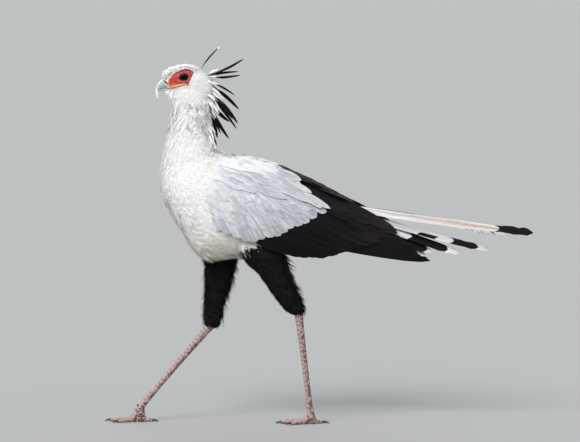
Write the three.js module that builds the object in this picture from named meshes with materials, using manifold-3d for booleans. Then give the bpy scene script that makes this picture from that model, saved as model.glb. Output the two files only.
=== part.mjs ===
// A life-size secretary bird in mid stride, in millimetres.
// +Z is up, the bill points towards -X and the bird's left side faces -Y.
import * as THREE from "three";
import { mergeVertices } from "three/addons/utils/BufferGeometryUtils.js";
import Module from "manifold-3d";

const wasm = await Module();
wasm.setup();

// Driving sizes
const GAP = 0.3;
const EYE_RADIUS = 12.5;
const EYE = { x: -329.5, y: 15, z: 989.5 };
const VANE_THICK = 0.9;

// Finishes of the nodes
const finish = (color, roughness) => new THREE.MeshStandardMaterial({ color, roughness, metalness: 0 });
const WHITE = finish(0xe6e4de, 0.8);
const GREY = finish(0xb9bec6, 0.75);
const BLACK = finish(0x15161a, 0.6);
const HORN = finish(0x9fb0bb, 0.4);
const LEG_SKIN = finish(0xb98f86, 0.6);
const CLAW_HORN = finish(0x26211e, 0.4);
const EYE_BROWN = finish(0x1d120c, 0.1);

const point = (x, y, z) => new THREE.Vector3(x, y, z);
const mix = (a, b, t) => a + (b - a) * t;
const smooth = (t) => {
  const u = Math.min(1, Math.max(0, t));
  return u * u * (3 - 2 * u);
};

// Reads a table of rows at a value of its first column, with smooth slopes from row to row.
function readRows(rows, key) {
  const last = rows.length - 1;
  if (key <= rows[0][0]) return rows[0];
  if (key >= rows[last][0]) return rows[last];
  let i = 0;
  while (key >= rows[i + 1][0]) i++;
  const [a, b] = [rows[i], rows[i + 1]];
  const span = b[0] - a[0];
  const t = (key - a[0]) / span;
  const slope = (k, c) => {
    const [p, q] = [rows[Math.max(k - 1, 0)], rows[Math.min(k + 1, last)]];
    return (q[c] - p[c]) / (q[0] - p[0]);
  };
  return a.map((_, c) => {
    const [h0, h1] = [2 * t ** 3 - 3 * t ** 2 + 1, t ** 3 - 2 * t ** 2 + t];
    const h3 = t ** 3 - t ** 2;
    return h0 * a[c] + h1 * span * slope(i, c) + (1 - h0) * b[c] + h3 * span * slope(i + 1, c);
  });
}

// Rows without a key of their own are read from 0 to 1 by their place in the list.
const readList = (list, t) => readRows(list.map((row, i) => [i / (list.length - 1), ...row]), t).slice(1);

// A closed solid from points and triangles, turned so that its faces point out.
function solidOf(points, triangles) {
  const geometry = new THREE.BufferGeometry().setFromPoints(points);
  geometry.setIndex(triangles);
  const merged = mergeVertices(geometry);
  const vertProperties = new Float32Array(merged.attributes.position.array);
  const build = (turned) => {
    const triVerts = new Uint32Array(merged.index.array);
    if (turned) for (let i = 0; i < triVerts.length; i += 3) triVerts.subarray(i, i + 3).reverse();
    return new wasm.Manifold(new wasm.Mesh({ numProp: 3, vertProperties, triVerts }));
  };
  const made = build(false);
  return made.volume() > 0 ? made : build(true);
}

// Joins rings of equal length into one closed skin, with a fan over each end.
function skinRings(rings) {
  const sides = rings[0].length;
  const points = rings.flat();
  const triangles = [];
  for (let r = 0; r + 1 < rings.length; r++) {
    for (let k = 0; k < sides; k++) {
      const [a, b] = [r * sides + k, r * sides + ((k + 1) % sides)];
      triangles.push(a, b, b + sides, a, b + sides, a + sides);
    }
  }
  [0, rings.length - 1].forEach((r, end) => {
    const centre = rings[r].reduce((sum, p) => sum.add(p), point(0, 0, 0)).divideScalar(sides);
    points.push(centre);
    for (let k = 0; k < sides; k++) {
      const [a, b] = [r * sides + k, r * sides + ((k + 1) % sides)];
      triangles.push(...(end ? [a, b, points.length - 1] : [b, a, points.length - 1]));
    }
  });
  return solidOf(points, triangles);
}

// A body whose upright sections lie along X. Rows hold x, centre z, half height, half width;
// lean makes each section wider above its centre than below.
function bodyAlongX(rows, { steps, sides, lean = 0, grow = 0 }) {
  const rings = [];
  for (let i = 0; i <= steps; i++) {
    const share = (1 - Math.cos((Math.PI * i) / steps)) / 2;
    const key = mix(rows[0][0], rows[rows.length - 1][0], share);
    const [x, z, high, wide] = readRows(rows, key);
    const shift = i === 0 ? -grow : i === steps ? grow : 0;
    const ring = [];
    for (let k = 0; k < sides; k++) {
      const turn = (2 * Math.PI * k) / sides;
      const reach = (wide + grow) * Math.cos(turn) * (1 + lean * Math.sin(turn));
      ring.push(point(x + shift, reach, z + (high + grow) * Math.sin(turn)));
    }
    rings.push(ring);
  }
  return skinRings(rings);
}

// A limb along a path. Rows hold x, y, z, half depth, half width; floor keeps it above the ground.
function limb(rows, { steps, sides, grow = 0, floor = false }) {
  const at = (t) => readList(rows, Math.min(1, Math.max(0, t)));
  const rings = [];
  for (let i = 0; i <= steps; i++) {
    const t = i / steps;
    const [x, y, z, deep, wide] = at(t);
    const [before, after] = [at(t - 0.02), at(t + 0.02)];
    const along = point(after[0] - before[0], after[1] - before[1], after[2] - before[2]).normalize();
    const up = Math.abs(along.z) > 0.9 ? point(1, 0, 0) : point(0, 0, 1);
    const side = new THREE.Vector3().crossVectors(along, point(0, 1, 0)).lengthSq() < 0.1
      ? new THREE.Vector3().crossVectors(up, along).normalize()
      : point(0, 1, 0).addScaledVector(along, -along.y).normalize();
    const front = new THREE.Vector3().crossVectors(side, along).normalize();
    const shift = i === 0 ? -grow : i === steps ? grow : 0;
    const ring = [];
    for (let k = 0; k < sides; k++) {
      const turn = (2 * Math.PI * k) / sides;
      const p = point(x, y, z)
        .addScaledVector(along, shift)
        .addScaledVector(front, (deep + grow) * Math.cos(turn))
        .addScaledVector(side, (wide + grow) * Math.sin(turn));
      if (floor) p.z = Math.max(p.z, 0);
      ring.push(p);
    }
    rings.push(ring);
  }
  return skinRings(rings);
}

// A thin plate from stations of left edge, right edge, face normal and thickness.
// Both faces are split along the same diagonals, so that they stay parallel where the plate curves.
function plate(stations) {
  const points = stations.flatMap(({ left, right, normal, thick }) => {
    const half = normal.clone().multiplyScalar(thick / 2);
    const [up, down] = [(p) => p.clone().add(half), (p) => p.clone().sub(half)];
    return [up(left), up(right), down(right), down(left)];
  });
  const triangles = [];
  const last = (stations.length - 1) * 4;
  for (let i = 0; i < last; i += 4) {
    const [tl, tr, br, bl] = [i, i + 1, i + 2, i + 3];
    triangles.push(tl, tr, tr + 4, tl, tr + 4, tl + 4);
    triangles.push(bl, br + 4, br, bl, bl + 4, br + 4);
    triangles.push(tr, br, br + 4, tr, br + 4, tr + 4);
    triangles.push(bl, tl, tl + 4, bl, tl + 4, bl + 4);
  }
  triangles.push(0, 3, 2, 0, 2, 1);
  triangles.push(last, last + 1, last + 2, last, last + 2, last + 3);
  return solidOf(points, triangles);
}

// The outline of a feather's vane at a share of its length: narrow at the quill, widest over most of its
// length from full on, round at the tip.
const VANE_OUTLINE = { quill: 0.3, tipFrom: 0.72, tipLength: 0.3, tipLeast: 0.06 };

function vaneWidth(t, full) {
  const { quill, tipFrom, tipLength, tipLeast } = VANE_OUTLINE;
  const closing = smooth((t - tipFrom) / tipLength);
  return mix(quill, 1, smooth(t / full)) * Math.sqrt(Math.max(tipLeast, 1 - closing ** 2));
}

// A feather in the open, from a root along a bent shaft. roll turns its flat face about the shaft.
function openFeather({ root, tip, sag, half, roll, steps, full }) {
  const along = tip.clone().sub(root).normalize();
  const level = new THREE.Vector3().crossVectors(point(0, 0, 1), along).normalize();
  const upright = new THREE.Vector3().crossVectors(along, level).normalize();
  const across = level.clone().applyAxisAngle(along, roll);
  const normal = upright.clone().applyAxisAngle(along, roll);
  const stations = [];
  for (let i = 0; i <= steps; i++) {
    const t = i / steps;
    const middle = root.clone().lerp(tip, t).addScaledVector(upright, sag * 4 * t * (1 - t));
    const reach = half * vaneWidth(t, full);
    stations.push({
      left: middle.clone().addScaledVector(across, reach),
      right: middle.clone().addScaledVector(across, -reach),
      normal,
      thick: VANE_THICK,
    });
  }
  return plate(stations);
}

const join = (solids) => wasm.Manifold.union(solids);

// The largest closed body of a solid, as one three.js mesh.
function node(name, solid, material) {
  const body = solid.decompose().sort((a, b) => b.volume() - a.volume())[0];
  const made = body.getMesh();
  const positions = new Float32Array(made.numVert * 3);
  for (let i = 0; i < made.numVert; i++) {
    positions.set(made.vertProperties.subarray(i * made.numProp, i * made.numProp + 3), i * 3);
  }
  const geometry = new THREE.BufferGeometry();
  geometry.setAttribute("position", new THREE.BufferAttribute(positions, 3));
  geometry.setIndex(new THREE.BufferAttribute(new Uint32Array(made.triVerts), 1));
  const mesh = new THREE.Mesh(geometry, material);
  mesh.name = name;
  return mesh;
}

// Torso: x, centre z, half height, half width
const TORSO = [
  [-396, 700, 13, 12],
  [-385, 698, 54, 38],
  [-365, 688, 84, 62],
  [-336, 668, 118, 82],
  [-299, 641, 148, 94],
  [-265, 630, 160, 99],
  [-228, 626, 155, 101],
  [-171, 618, 142, 101],
  [-114, 620, 130, 97],
  [-57, 620, 107, 87],
  [0, 614, 84, 71],
  [57, 607, 61, 51],
  [114, 604, 38, 34],
  [165, 602, 20, 22],
];

const TORSO_MESH = { steps: 15, sides: 16 };

// Neck, from inside the breast up into the head: x, y, z, half depth, half width
const NECK = [
  [-271, 0, 653, 86, 60],
  [-296, 0, 701, 97, 66],
  [-312, 0, 744, 83, 60],
  [-315, 0, 781, 74, 53],
  [-312, 0, 815, 67, 47],
  [-308, 0, 852, 60, 42],
  [-306, 0, 889, 56, 39],
  [-308, 0, 923, 55, 37],
  [-314, 0, 952, 48, 32],
  [-319, 0, 975, 20, 18],
];

const NECK_MESH = { steps: 12, sides: 14 };

// Head: x, centre z, half height, half width
const BILL_BASE_X = -379;
const HEAD = [
  [BILL_BASE_X + GAP, 972, 23, 15.5],
  [-370, 974, 31, 19],
  [-359, 976, 36, 22],
  [-342, 978, 42, 26],
  [-322, 977, 46, 29],
  [-302, 972, 47, 31],
  [-282, 965, 45, 30],
  [-265, 960, 36, 26],
  [-254, 958, 23, 17],
  [-249, 957, 8, 7],
];
const HEAD_LEAN = 0.12;
const HEAD_CUT = { at: point(-312, 0, 935), normal: point(-0.1, 0, 1).normalize() };
const NECK_CUT = { at: point(-318, 0, 764), normal: point(-0.32, 0, 1).normalize() };

// How far the head's skin stands out from the middle plane at a place in side view.
function headReach(x, z) {
  const [, centre, high, wide] = readRows(HEAD, x);
  const rise = Math.min(0.98, Math.max(-0.98, (z - centre) / high));
  return wide * Math.sqrt(1 - rise * rise) * (1 + HEAD_LEAN * rise);
}

// The part of a solid above or below a plane, less half of the gap between nodes.
function partAbove(solid, { at, normal }, sign) {
  const facing = normal.clone().multiplyScalar(sign);
  return solid.trimByPlane(facing.toArray(), facing.dot(at) + GAP / 2);
}

// Eyelids, brow and mouth
const LID = { halfLong: 12.4, halfHigh: 9.6, tube: 1.9, tilt: 0.16, sunk: 0.3 };
const BROW = [
  [-368, 992.5],
  [-356, 999],
  [-342, 1006.5],
  [-327, 1011],
  [-311, 1009],
  [-301, 1004],
];
const MOUTH = [
  [BILL_BASE_X, 957.8],
  [-364, 959.4],
  [-348, 962],
  [-333, 965],
  [-317, 968],
];

function lidRing(side) {
  const [count, sides] = [11, 4];
  const points = [];
  const triangles = [];
  for (let i = 0; i < count; i++) {
    const turn = (2 * Math.PI * i) / count;
    const [u, v] = [LID.halfLong * Math.cos(turn), LID.halfHigh * Math.sin(turn)];
    const x = EYE.x + u * Math.cos(LID.tilt) - v * Math.sin(LID.tilt);
    const z = EYE.z + u * Math.sin(LID.tilt) + v * Math.cos(LID.tilt);
    const out = point(x - EYE.x, 0, z - EYE.z).normalize();
    for (let k = 0; k < sides; k++) {
      const around = (2 * Math.PI * k) / sides;
      const p = point(x, side * (headReach(x, z) - LID.sunk), z);
      p.addScaledVector(out, LID.tube * Math.cos(around));
      p.y += side * LID.tube * Math.sin(around);
      points.push(p);
      const [a, b] = [i * sides + k, i * sides + ((k + 1) % sides)];
      const [c, d] = [((i + 1) % count) * sides + k, ((i + 1) % count) * sides + ((k + 1) % sides)];
      triangles.push(a, b, d, a, d, c);
    }
  }
  return solidOf(points, triangles);
}

// A ridge or groove that follows a line over the side of the head.
function faceRidge(line, side, thickness, sunk = 0) {
  const rows = line.map(([x, z], i) => {
    const end = i === 0 || i === line.length - 1 ? 0.4 : 1;
    return [x, side * (headReach(x, z) - sunk), z, thickness * end, thickness * end];
  });
  return limb(rows, { steps: 5, sides: 3 });
}

function mouthCut(side) {
  const [depth, reach, thick] = [5, 3, 0.9];
  return plate(
    MOUTH.map(([x, z], i) => {
      const shift = i === 0 ? -2 : 0;
      const out = headReach(x, z);
      return {
        left: point(x + shift, side * (out + reach), z),
        right: point(x + shift, side * (out - depth), z),
        normal: point(-0.17, 0, 0.98),
        thick,
      };
    }),
  );
}

function ball(radius, at, stretch = [1, 1, 1], segments = [12, 8]) {
  const geometry = new THREE.SphereGeometry(radius, ...segments);
  geometry.scale(...stretch).translate(at.x, at.y, at.z);
  geometry.deleteAttribute("normal");
  geometry.deleteAttribute("uv");
  const merged = mergeVertices(geometry);
  const points = [];
  for (let i = 0; i < merged.attributes.position.count; i++) {
    points.push(new THREE.Vector3().fromBufferAttribute(merged.attributes.position, i));
  }
  const index = Array.from(merged.index.array);
  const triangles = [];
  for (let i = 0; i < index.length; i += 3) {
    const [a, b, c] = index.slice(i, i + 3);
    if (a !== b && b !== c && a !== c) triangles.push(a, b, c);
  }
  return solidOf(points, triangles);
}

const eyeCentre = (side) => point(EYE.x, side * EYE.y, EYE.z);
const eyeOpening = (side) =>
  ball(1, point(EYE.x, side * (EYE.y + 14), EYE.z), [LID.halfLong - 1, 12, LID.halfHigh - 1]);

// Crest: angle above the level, length, height on the nape, side, half width, roll of the flat face
const CREST = [
  [52, 80, 1013, -3, 3.5, 1.2],
  [21, 112, 1003, 6, 5, 0.7],
  [7, 104, 996, -9, 6.5, -0.9],
  [4, 108, 986, 9, 6, 1.0],
  [-14, 96, 978, -4, 5.5, 0.5],
  [-27, 88, 968, 13, 5.5, 1.1],
  [-36, 122, 958, -10, 8, -1.1],
  [-44, 116, 949, 10, 8, 1.2],
  [-49, 96, 924, -3, 6.5, 0.8],
  [-55, 110, 908, 14, 6.5, 1.2],
  [-61, 118, 900, -14, 7, -1.2],
  [-65, 92, 884, 6, 6.5, 1.1],
  [-68, 84, 868, -10, 5.5, -1.1],
  [-66, 78, 846, 8, 5, 1.1],
];

// The line that the crest grows from, down the back of the head and neck: height, x
const NAPE = [
  [830, -247],
  [889, -251],
  [923, -254],
  [945, -256],
  [957, -252],
  [975, -256],
  [996, -267],
  [1013, -291],
];
const CREST_SUNK = 14;

function crestFeather([angle, length, height, side, half, roll]) {
  const turn = THREE.MathUtils.degToRad(angle);
  const way = point(Math.cos(turn), side / 90, Math.sin(turn)).normalize();
  const base = point(readRows(NAPE, height)[1], side, height);
  const root = base.clone().addScaledVector(way, -CREST_SUNK);
  const tip = base.clone().addScaledVector(way, length);
  return openFeather({ root, tip, sag: 4, half, roll, full: 0.75, steps: 5 });
}

// Folded wing: x, centre z, half height, reach from the middle plane, and how openly it stands over the
// back: a small last value closes the wing over the back, and a large one keeps it upright by the tail.
const WING = [
  [-276, 666, 20, 86, 1.32],
  [-265, 666, 66, 97, 1.32],
  [-242, 656, 95, 107, 1.32],
  [-214, 652, 111, 114, 1.32],
  [-171, 645, 122, 120, 1.32],
  [-128, 639, 128, 122, 1.32],
  [-86, 630, 127, 121, 1.32],
  [-43, 616, 121, 117, 1.32],
  [0, 602, 114, 111, 1.33],
  [57, 586, 103, 99, 1.36],
  [114, 569, 88, 84, 1.5],
  [171, 552, 74, 70, 1.75],
  [228, 533, 58, 61, 1.9],
  [285, 515, 43, 55, 1.9],
  [370, 481, 23, 47, 1.9],
];

// A point over the folded wing's outer surface at a place in side view, lifted along the surface's normal.
function wingPoint(side, x, z, lift) {
  const reach = (px, pz) => {
    const [, centre, high, wide, open] = readRows(WING, px);
    const rise = (pz - centre + 0.3 * high) / (open * high);
    return wide * Math.sqrt(Math.max(0.03, 1 - rise * rise));
  };
  const slope = (dx, dz) => (reach(x + dx, z + dz) - reach(x - dx, z - dz)) / 2;
  const normal = point(-slope(1, 0), 1, -slope(0, 1)).normalize();
  const p = point(x, reach(x, z), z).addScaledVector(normal, lift);
  p.y *= side;
  normal.y *= side;
  return { p, normal };
}

// The arm under its small feathers: x, lower edge z, upper edge z, depth.
// The coverts' tips reach below and behind it.
const ARM = [
  [-276, 646, 686, 12],
  [-265, 606, 730, 22],
  [-242, 585, 748, 32],
  [-214, 566, 761, 34],
  [-171, 549, 764, 34],
  [-128, 547, 764, 30],
  [-86, 557, 754, 24],
  [-43, 577, 734, 16],
  [-5, 592, 714, 9],
  [20, 610, 699, 5],
];

// Where the large coverts begin: x, z. Below this line the arm lies deeper, to make room for their layers.
const COVERT_LINE = [
  [-276, 612],
  [-225, 600],
  [-104, 636],
  [-14, 684],
  [20, 712],
];
const COVERT_DEPTH = 4.6;

// Over what height the arm sinks below that line, how far its edges round in, and how deep its inner
// face starts
const ARM_SHAPE = { sinkOver: 28, edgeIn: 2, innerFrom: 7.2 };

function armSolid(side) {
  const [steps, columns] = [11, 7];
  const rings = [];
  for (let i = 0; i <= steps; i++) {
    const x = mix(ARM[0][0], ARM[ARM.length - 1][0], i / steps);
    const [, low, high, deep] = readRows(ARM, x);
    const line = readRows(COVERT_LINE, x)[1];
    const [outer, inner] = [[], []];
    for (let k = 0; k <= columns; k++) {
      const z = mix(low, high, k / columns);
      const edge = Math.sin((Math.PI * k) / columns);
      const sinking = smooth((line - z) / ARM_SHAPE.sinkOver + 0.5);
      const lift = -COVERT_DEPTH * sinking - ARM_SHAPE.edgeIn * (1 - edge);
      outer.push(wingPoint(side, x, z, lift).p);
      inner.unshift(wingPoint(side, x, z, -ARM_SHAPE.innerFrom - deep * mix(0.1, 1, edge)).p);
    }
    rings.push([...outer, ...inner]);
  }
  return skinRings(rings);
}

// Rows of the wing's vanes, each from its first root and tip to its last in side view. lift sets the
// layer: the primaries lie innermost and the scapulars outermost. sunk is the layer of the root, inside
// the arm, and tilt brings each vane's lower edge over the next.
const VANE_ROWS = [
  {
    name: "primaries",
    count: 5,
    roots: [[-112, 564], [-64, 584]],
    tips: [[368, 463], [246, 512]],
    half: [14, 19],
    sunk: -13,
    lift: [-14.4, -9.2],
    tilt: 0.01,
    bow: [-20, 0],
    steps: 5,
  },
  {
    name: "secondaries",
    count: 9,
    roots: [[-140, 566], [-46, 707]],
    tips: [[104, 487], [282, 573]],
    half: [17, 16],
    sunk: -12,
    lift: [-6.3, -6.3],
    tilt: 0.09,
    bow: [-10, 9],
    steps: 5,
  },
  {
    name: "great coverts",
    count: 9,
    roots: [[-242, 607], [-8, 668]],
    tips: [[-204, 537], [54, 606]],
    half: [14.5, 13.5],
    sunk: -9,
    lift: [-2.2, -2.2],
    tilt: 0.09,
    bow: [3, 3],
    steps: 4,
  },
  {
    name: "middle coverts",
    count: 7,
    roots: [[-256, 634], [-2, 694]],
    tips: [[-230, 572], [36, 640]],
    half: [15, 13.5],
    sunk: -7,
    lift: [1.4, 1.4],
    tilt: 0.08,
    bow: [3, 3],
    steps: 3,
  },
  {
    name: "scapulars",
    count: 4,
    roots: [[-120, 716], [-150, 752]],
    tips: [[80, 612], [-44, 742]],
    half: [11, 13],
    sunk: -6,
    lift: [5, 5],
    tilt: 0.06,
    bow: [6, 6],
    steps: 5,
  },
];
const RAMP = 0.3;

// The lower rear edge of the coverts bows down between the first tip and the last: x, shift in z.
const COVERT_SAG = [
  [-204, 0],
  [-131, -27],
  [-57, -20],
  [54, 0],
];

function vaneOnWing(side, row, i) {
  const share = i / (row.count - 1);
  const between = ([a, b]) => [mix(a[0], b[0], share), mix(a[1], b[1], share)];
  const [root, tip] = [between(row.roots), between(row.tips)];
  if (row.name.endsWith("coverts")) {
    const sag = readRows(COVERT_SAG, mix(COVERT_SAG[0][0], COVERT_SAG[3][0], share))[1];
    root[1] += sag;
    tip[1] += sag;
  }
  const [dx, dz] = [tip[0] - root[0], tip[1] - root[1]];
  const span = Math.hypot(dx, dz);
  const up = [-dz / span, dx / span];
  const [half, lift, bend] = [row.half, row.lift, row.bow].map((ends) => mix(...ends, share));
  const stations = [];
  for (let k = 0; k <= row.steps; k++) {
    const t = k / row.steps;
    const bow = bend * 4 * t * (1 - t);
    const [x, z] = [root[0] + dx * t + up[0] * bow, root[1] + dz * t + up[1] * bow];
    const level = mix(row.sunk, lift, smooth(t / RAMP));
    const off = (reach) => wingPoint(side, x + up[0] * reach, z + up[1] * reach, level - row.tilt * reach);
    const reach = half * vaneWidth(t, RAMP);
    const { normal } = off(0);
    stations.push({ left: off(reach).p, right: off(-reach).p, normal, thick: VANE_THICK });
  }
  return plate(stations);
}

function wing(side) {
  const vanes = [];
  for (const row of VANE_ROWS) {
    for (let i = 0; i < row.count; i++) vanes.push(vaneOnWing(side, row, i));
  }
  return join([armSolid(side), ...vanes]);
}

// Legs: the ankle, the joint of the foot, and how far the toes still bend down from it
const LEGS = {
  left: { side: -1, ankle: point(-5.7, -44, 331.7), foot: point(31, -20, 22), pitch: 0 },
  right: { side: 1, ankle: point(-253.7, 40, 279), foot: point(-458, 32, 42), pitch: 8 },
};

// Feathered thigh, from inside the flank to the ankle: x, y, z, half depth, half width
const THIGH = {
  left: [
    [-140, -48, 560, 60, 40],
    [-118, -51, 505, 54, 41],
    [-90, -51, 465, 45, 37],
    [-66, -50, 421, 38, 32],
    [-41, -48, 375, 32, 27],
    [-20, -46, 342, 27, 24],
    [-8, -45, 324, 20, 19],
    [-3, -44, 316, 10, 11],
  ],
  right: [
    [-222, 46, 540, 50, 40],
    [-229, 47, 490, 47, 38],
    [-233, 46, 440, 39, 34],
    [-238, 45, 395, 33, 29],
    [-246, 43, 350, 28, 25],
    [-251, 42, 310, 26, 23],
    [-252, 41, 285, 24, 21],
    [-251, 40, 271, 16, 13],
  ],
};

const thighCore = (which, grow = 0) => limb(THIGH[which], { steps: 9, sides: 12, grow });

// Locks of the trousers in tiers: share of the way down, turns about the thigh from its front in degrees,
// and length
const LOCK_TIERS = [
  { down: 0.2, turns: [205, 250, 300], length: 92 },
  { down: 0.4, turns: [180, 226, 275, 320], length: 84 },
  { down: 0.6, turns: [158, 202, 248, 300], length: 72 },
  { down: 0.78, turns: [180, 228, 290], length: 54 },
];
// The locks' half width, thickness at root and tip, how far the root is sunk and the tip stands out, where
// on an arch their width starts at the root, and the least share of it that is left at the tip
const LOCK = { half: 11, thick: 1.6, thin: 0.6, sunk: 5, proud: 7, root: 0.32, tip: 0.08 };

// A place over the thigh's surface: share of the way down, turn about it from its front, and lift off it
function thighPoint(which, share, turn, lift) {
  const rows = THIGH[which];
  const drop = rows[0][2] - rows[rows.length - 1][2];
  const inside = Math.min(1, share);
  const [x, y, z, deep, wide] = readList(rows, inside);
  const [bx, by, bz] = readList(rows, Math.max(0, inside - 0.04));
  const along = point(x - bx, y - by, z - bz).normalize();
  const front = point(along.z, 0, -along.x).normalize();
  const normal = front.multiplyScalar(Math.cos(turn));
  normal.y -= LEGS[which].side * Math.sin(turn);
  const p = point(x, y, z).addScaledVector(along, (share - inside) * drop);
  p.x += normal.x * (deep + lift);
  p.y += normal.y * (wide + lift);
  p.z += normal.z * (deep + lift);
  return { p, normal: normal.normalize(), along };
}

// A flat lock that leaves the thigh at its root, bends down along it and tapers to a point.
function thighLock(which, down, turn, length) {
  const rows = THIGH[which];
  const drop = rows[0][2] - rows[rows.length - 1][2];
  const steps = 3;
  const stations = [];
  for (let i = 0; i <= steps; i++) {
    const t = i / steps;
    const lift = mix(-LOCK.sunk, LOCK.proud, Math.sin((Math.PI * t) / 2));
    const { p, normal, along } = thighPoint(which, down + (length / drop) * t, turn, lift);
    const across = new THREE.Vector3().crossVectors(along, normal).normalize();
    const reach = LOCK.half * Math.max(LOCK.tip, Math.sin(Math.PI * mix(LOCK.root, 1, t)));
    stations.push({
      left: p.clone().addScaledVector(across, reach),
      right: p.clone().addScaledVector(across, -reach),
      normal,
      thick: mix(LOCK.thick, LOCK.thin, t),
    });
  }
  return plate(stations);
}

function thigh(which) {
  const locks = LOCK_TIERS.flatMap(({ down, turns, length }) =>
    turns.map((turn, i) => {
      const uneven = i % 2 ? 0.9 : 1.05;
      return thighLock(which, down, THREE.MathUtils.degToRad(turn), length * uneven);
    }),
  );
  return join([thighCore(which), ...locks]);
}

// Tarsus: share of the way from ankle to foot, half depth, half width
const TARSUS = [
  [-0.01, 12.5, 10.5],
  [0.08, 11.5, 10],
  [0.35, 9.2, 8.2],
  [0.7, 8.4, 7.6],
  [0.92, 9.6, 9],
  [1.02, 10.5, 11],
];

// Scutes are plates over the front of the tarsus. Each is raised at its lower edge and meets the next with
// a step.
const SCUTES = { count: 15, raised: 1.1, step: 0.12 };

function tarsus({ ankle, foot }) {
  const along = foot.clone().sub(ankle).normalize();
  const side = point(0, 1, 0).addScaledVector(along, -along.y).normalize();
  const front = new THREE.Vector3().crossVectors(along, side).normalize();
  if (front.x > 0) front.negate();
  const places = [];
  for (let i = 0; i < SCUTES.count; i++) {
    places.push([i / SCUTES.count, 0], [(i + 1 - SCUTES.step) / SCUTES.count, SCUTES.raised]);
  }
  places.push([1, 0]);
  const sides = 8;
  const rings = places.map(([share, raised]) => {
    const [t, deep, wide] = readRows(TARSUS, mix(TARSUS[0][0], TARSUS[TARSUS.length - 1][0], share));
    const middle = ankle.clone().lerp(foot, t);
    const ring = [];
    for (let k = 0; k < sides; k++) {
      const turn = (2 * Math.PI * k) / sides;
      const plateHeight = raised * smooth((Math.cos(turn) + 0.35) / 0.7);
      ring.push(
        middle.clone()
          .addScaledVector(front, (deep + plateHeight) * Math.cos(turn))
          .addScaledVector(side, (wide + plateHeight) * Math.sin(turn)),
      );
    }
    return ring;
  });
  return skinRings(rings);
}

// Toes: name, turn from straight ahead, length, thickness at the root
const TOES = [
  ["inner", 30, 62, 8.4],
  ["middle", 2, 80, 9],
  ["outer", -27, 66, 8],
  ["hind", 184, 30, 7.4],
];
const CLAW = { front: 17, hind: 20, radius: 4.2 };

function toePath({ side, foot, pitch }, [, turn, length, thick]) {
  const angle = THREE.MathUtils.degToRad(180 - side * turn);
  const way = point(Math.cos(angle), Math.sin(angle), 0);
  const start = point(foot.x, foot.y, 0).addScaledVector(way, 4);
  const at = (share, height, deep, wide) => [
    ...start.clone().addScaledVector(way, length * share).setZ(height).toArray(), deep, wide,
  ];
  return { way, start, length, thick, rows: [
    at(-0.12, Math.min(foot.z - 6, 26 + pitch), thick, thick * 1.05),
    at(0.12, 13 + pitch, thick * 0.95, thick),
    at(0.3, thick * 0.9, thick * 0.92, thick * 1.0),
    at(0.5, thick * 0.7, thick * 0.8, thick * 0.86),
    at(0.7, thick * 0.66, thick * 0.78, thick * 0.84),
    at(0.88, thick * 0.52, thick * 0.6, thick * 0.66),
    at(1, thick * 0.48, thick * 0.48, thick * 0.5),
  ] };
}

const toeSolid = (leg, toe, grow = 0) =>
  limb(toePath(leg, toe).rows, { steps: 6, sides: 6, floor: true, grow });

function footSolid(leg) {
  const toes = TOES.map((toe) => toeSolid(leg, toe));
  const { foot } = leg;
  const pad = limb(
    [
      [foot.x, foot.y, foot.z + 8, 10, 10],
      [foot.x, foot.y, Math.max(14, foot.z - 6), 13, 13],
      [foot.x - 2, foot.y, 6, 14, 13],
      [foot.x - 2, foot.y, -2, 11, 11],
    ],
    { steps: 4, sides: 8, floor: true },
  );
  return join([...toes, pad]);
}

function clawSolid(leg, toe) {
  const { way, start, length, thick } = toePath(leg, toe);
  const size = toe[0] === "hind" ? CLAW.hind : CLAW.front;
  const at = (ahead, height, radius) => [
    ...start.clone().addScaledVector(way, length + ahead).setZ(height).toArray(), radius, radius * 0.8,
  ];
  const claw = limb(
    [
      at(-2, thick * 0.5 + 0.6, CLAW.radius * 0.85),
      at(size * 0.35, thick * 0.5 + 1.4, CLAW.radius * 0.75),
      at(size * 0.75, thick * 0.4, CLAW.radius * 0.45),
      at(size, 1.2, 0.5),
    ],
    { steps: 3, sides: 6, floor: true },
  );
  return claw.subtract(toeSolid(leg, toe, GAP));
}

// Tail feathers from the middle pair out: tip x, tip z, tip y, half width, roll
const TAIL = [
  [664, 547, 13, 16, 0.5],
  [541, 496, 15, 13, 0.7],
  [453, 487, 17, 14, 0.8],
  [400, 482, 18, 14, 0.9],
  [350, 482, 19, 14, 0.95],
  [305, 488, 20, 13, 1.0],
];
const TAIL_BASE = { x: 160, z: 604 };

// Bill: x, top z, bottom z and half width from its base to the hook
const UPPER_BILL = [
  [BILL_BASE_X, 989, 958.4, 13],
  [-389, 984, 955.8, 11.5],
  [-399, 977.5, 953.2, 9],
  [-406, 966.7, 950.2, 6.6],
  [-409.3, 954.8, 943.8, 4.4],
  [-408.6, 942, 936.6, 2.6],
  [-403.4, 927.6, 926.8, 0.7],
];
const LOWER_BILL = [
  [BILL_BASE_X, 957.8, 950, 11],
  [-389, 955.1, 948.6, 9],
  [-397, 952.6, 948.4, 6.4],
  [-402.5, 950.6, 949, 2.4],
];

// Nostril: a slanted slot through the side of the cere, from its front end to its rear end
const NOSTRIL = { front: point(-389.5, 9.6, 979.8), rear: point(-381, 12, 972.6), high: 1.5, deep: 3 };

function nostrilCut(side) {
  const at = (p, share) => [p.x, side * p.y, p.z, NOSTRIL.high * share, NOSTRIL.deep * share];
  const { front, rear } = NOSTRIL;
  const middle = front.clone().lerp(rear, 0.5);
  return limb([at(front, 0.4), at(middle, 1), at(rear, 0.7)], { steps: 2, sides: 4 });
}

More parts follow.
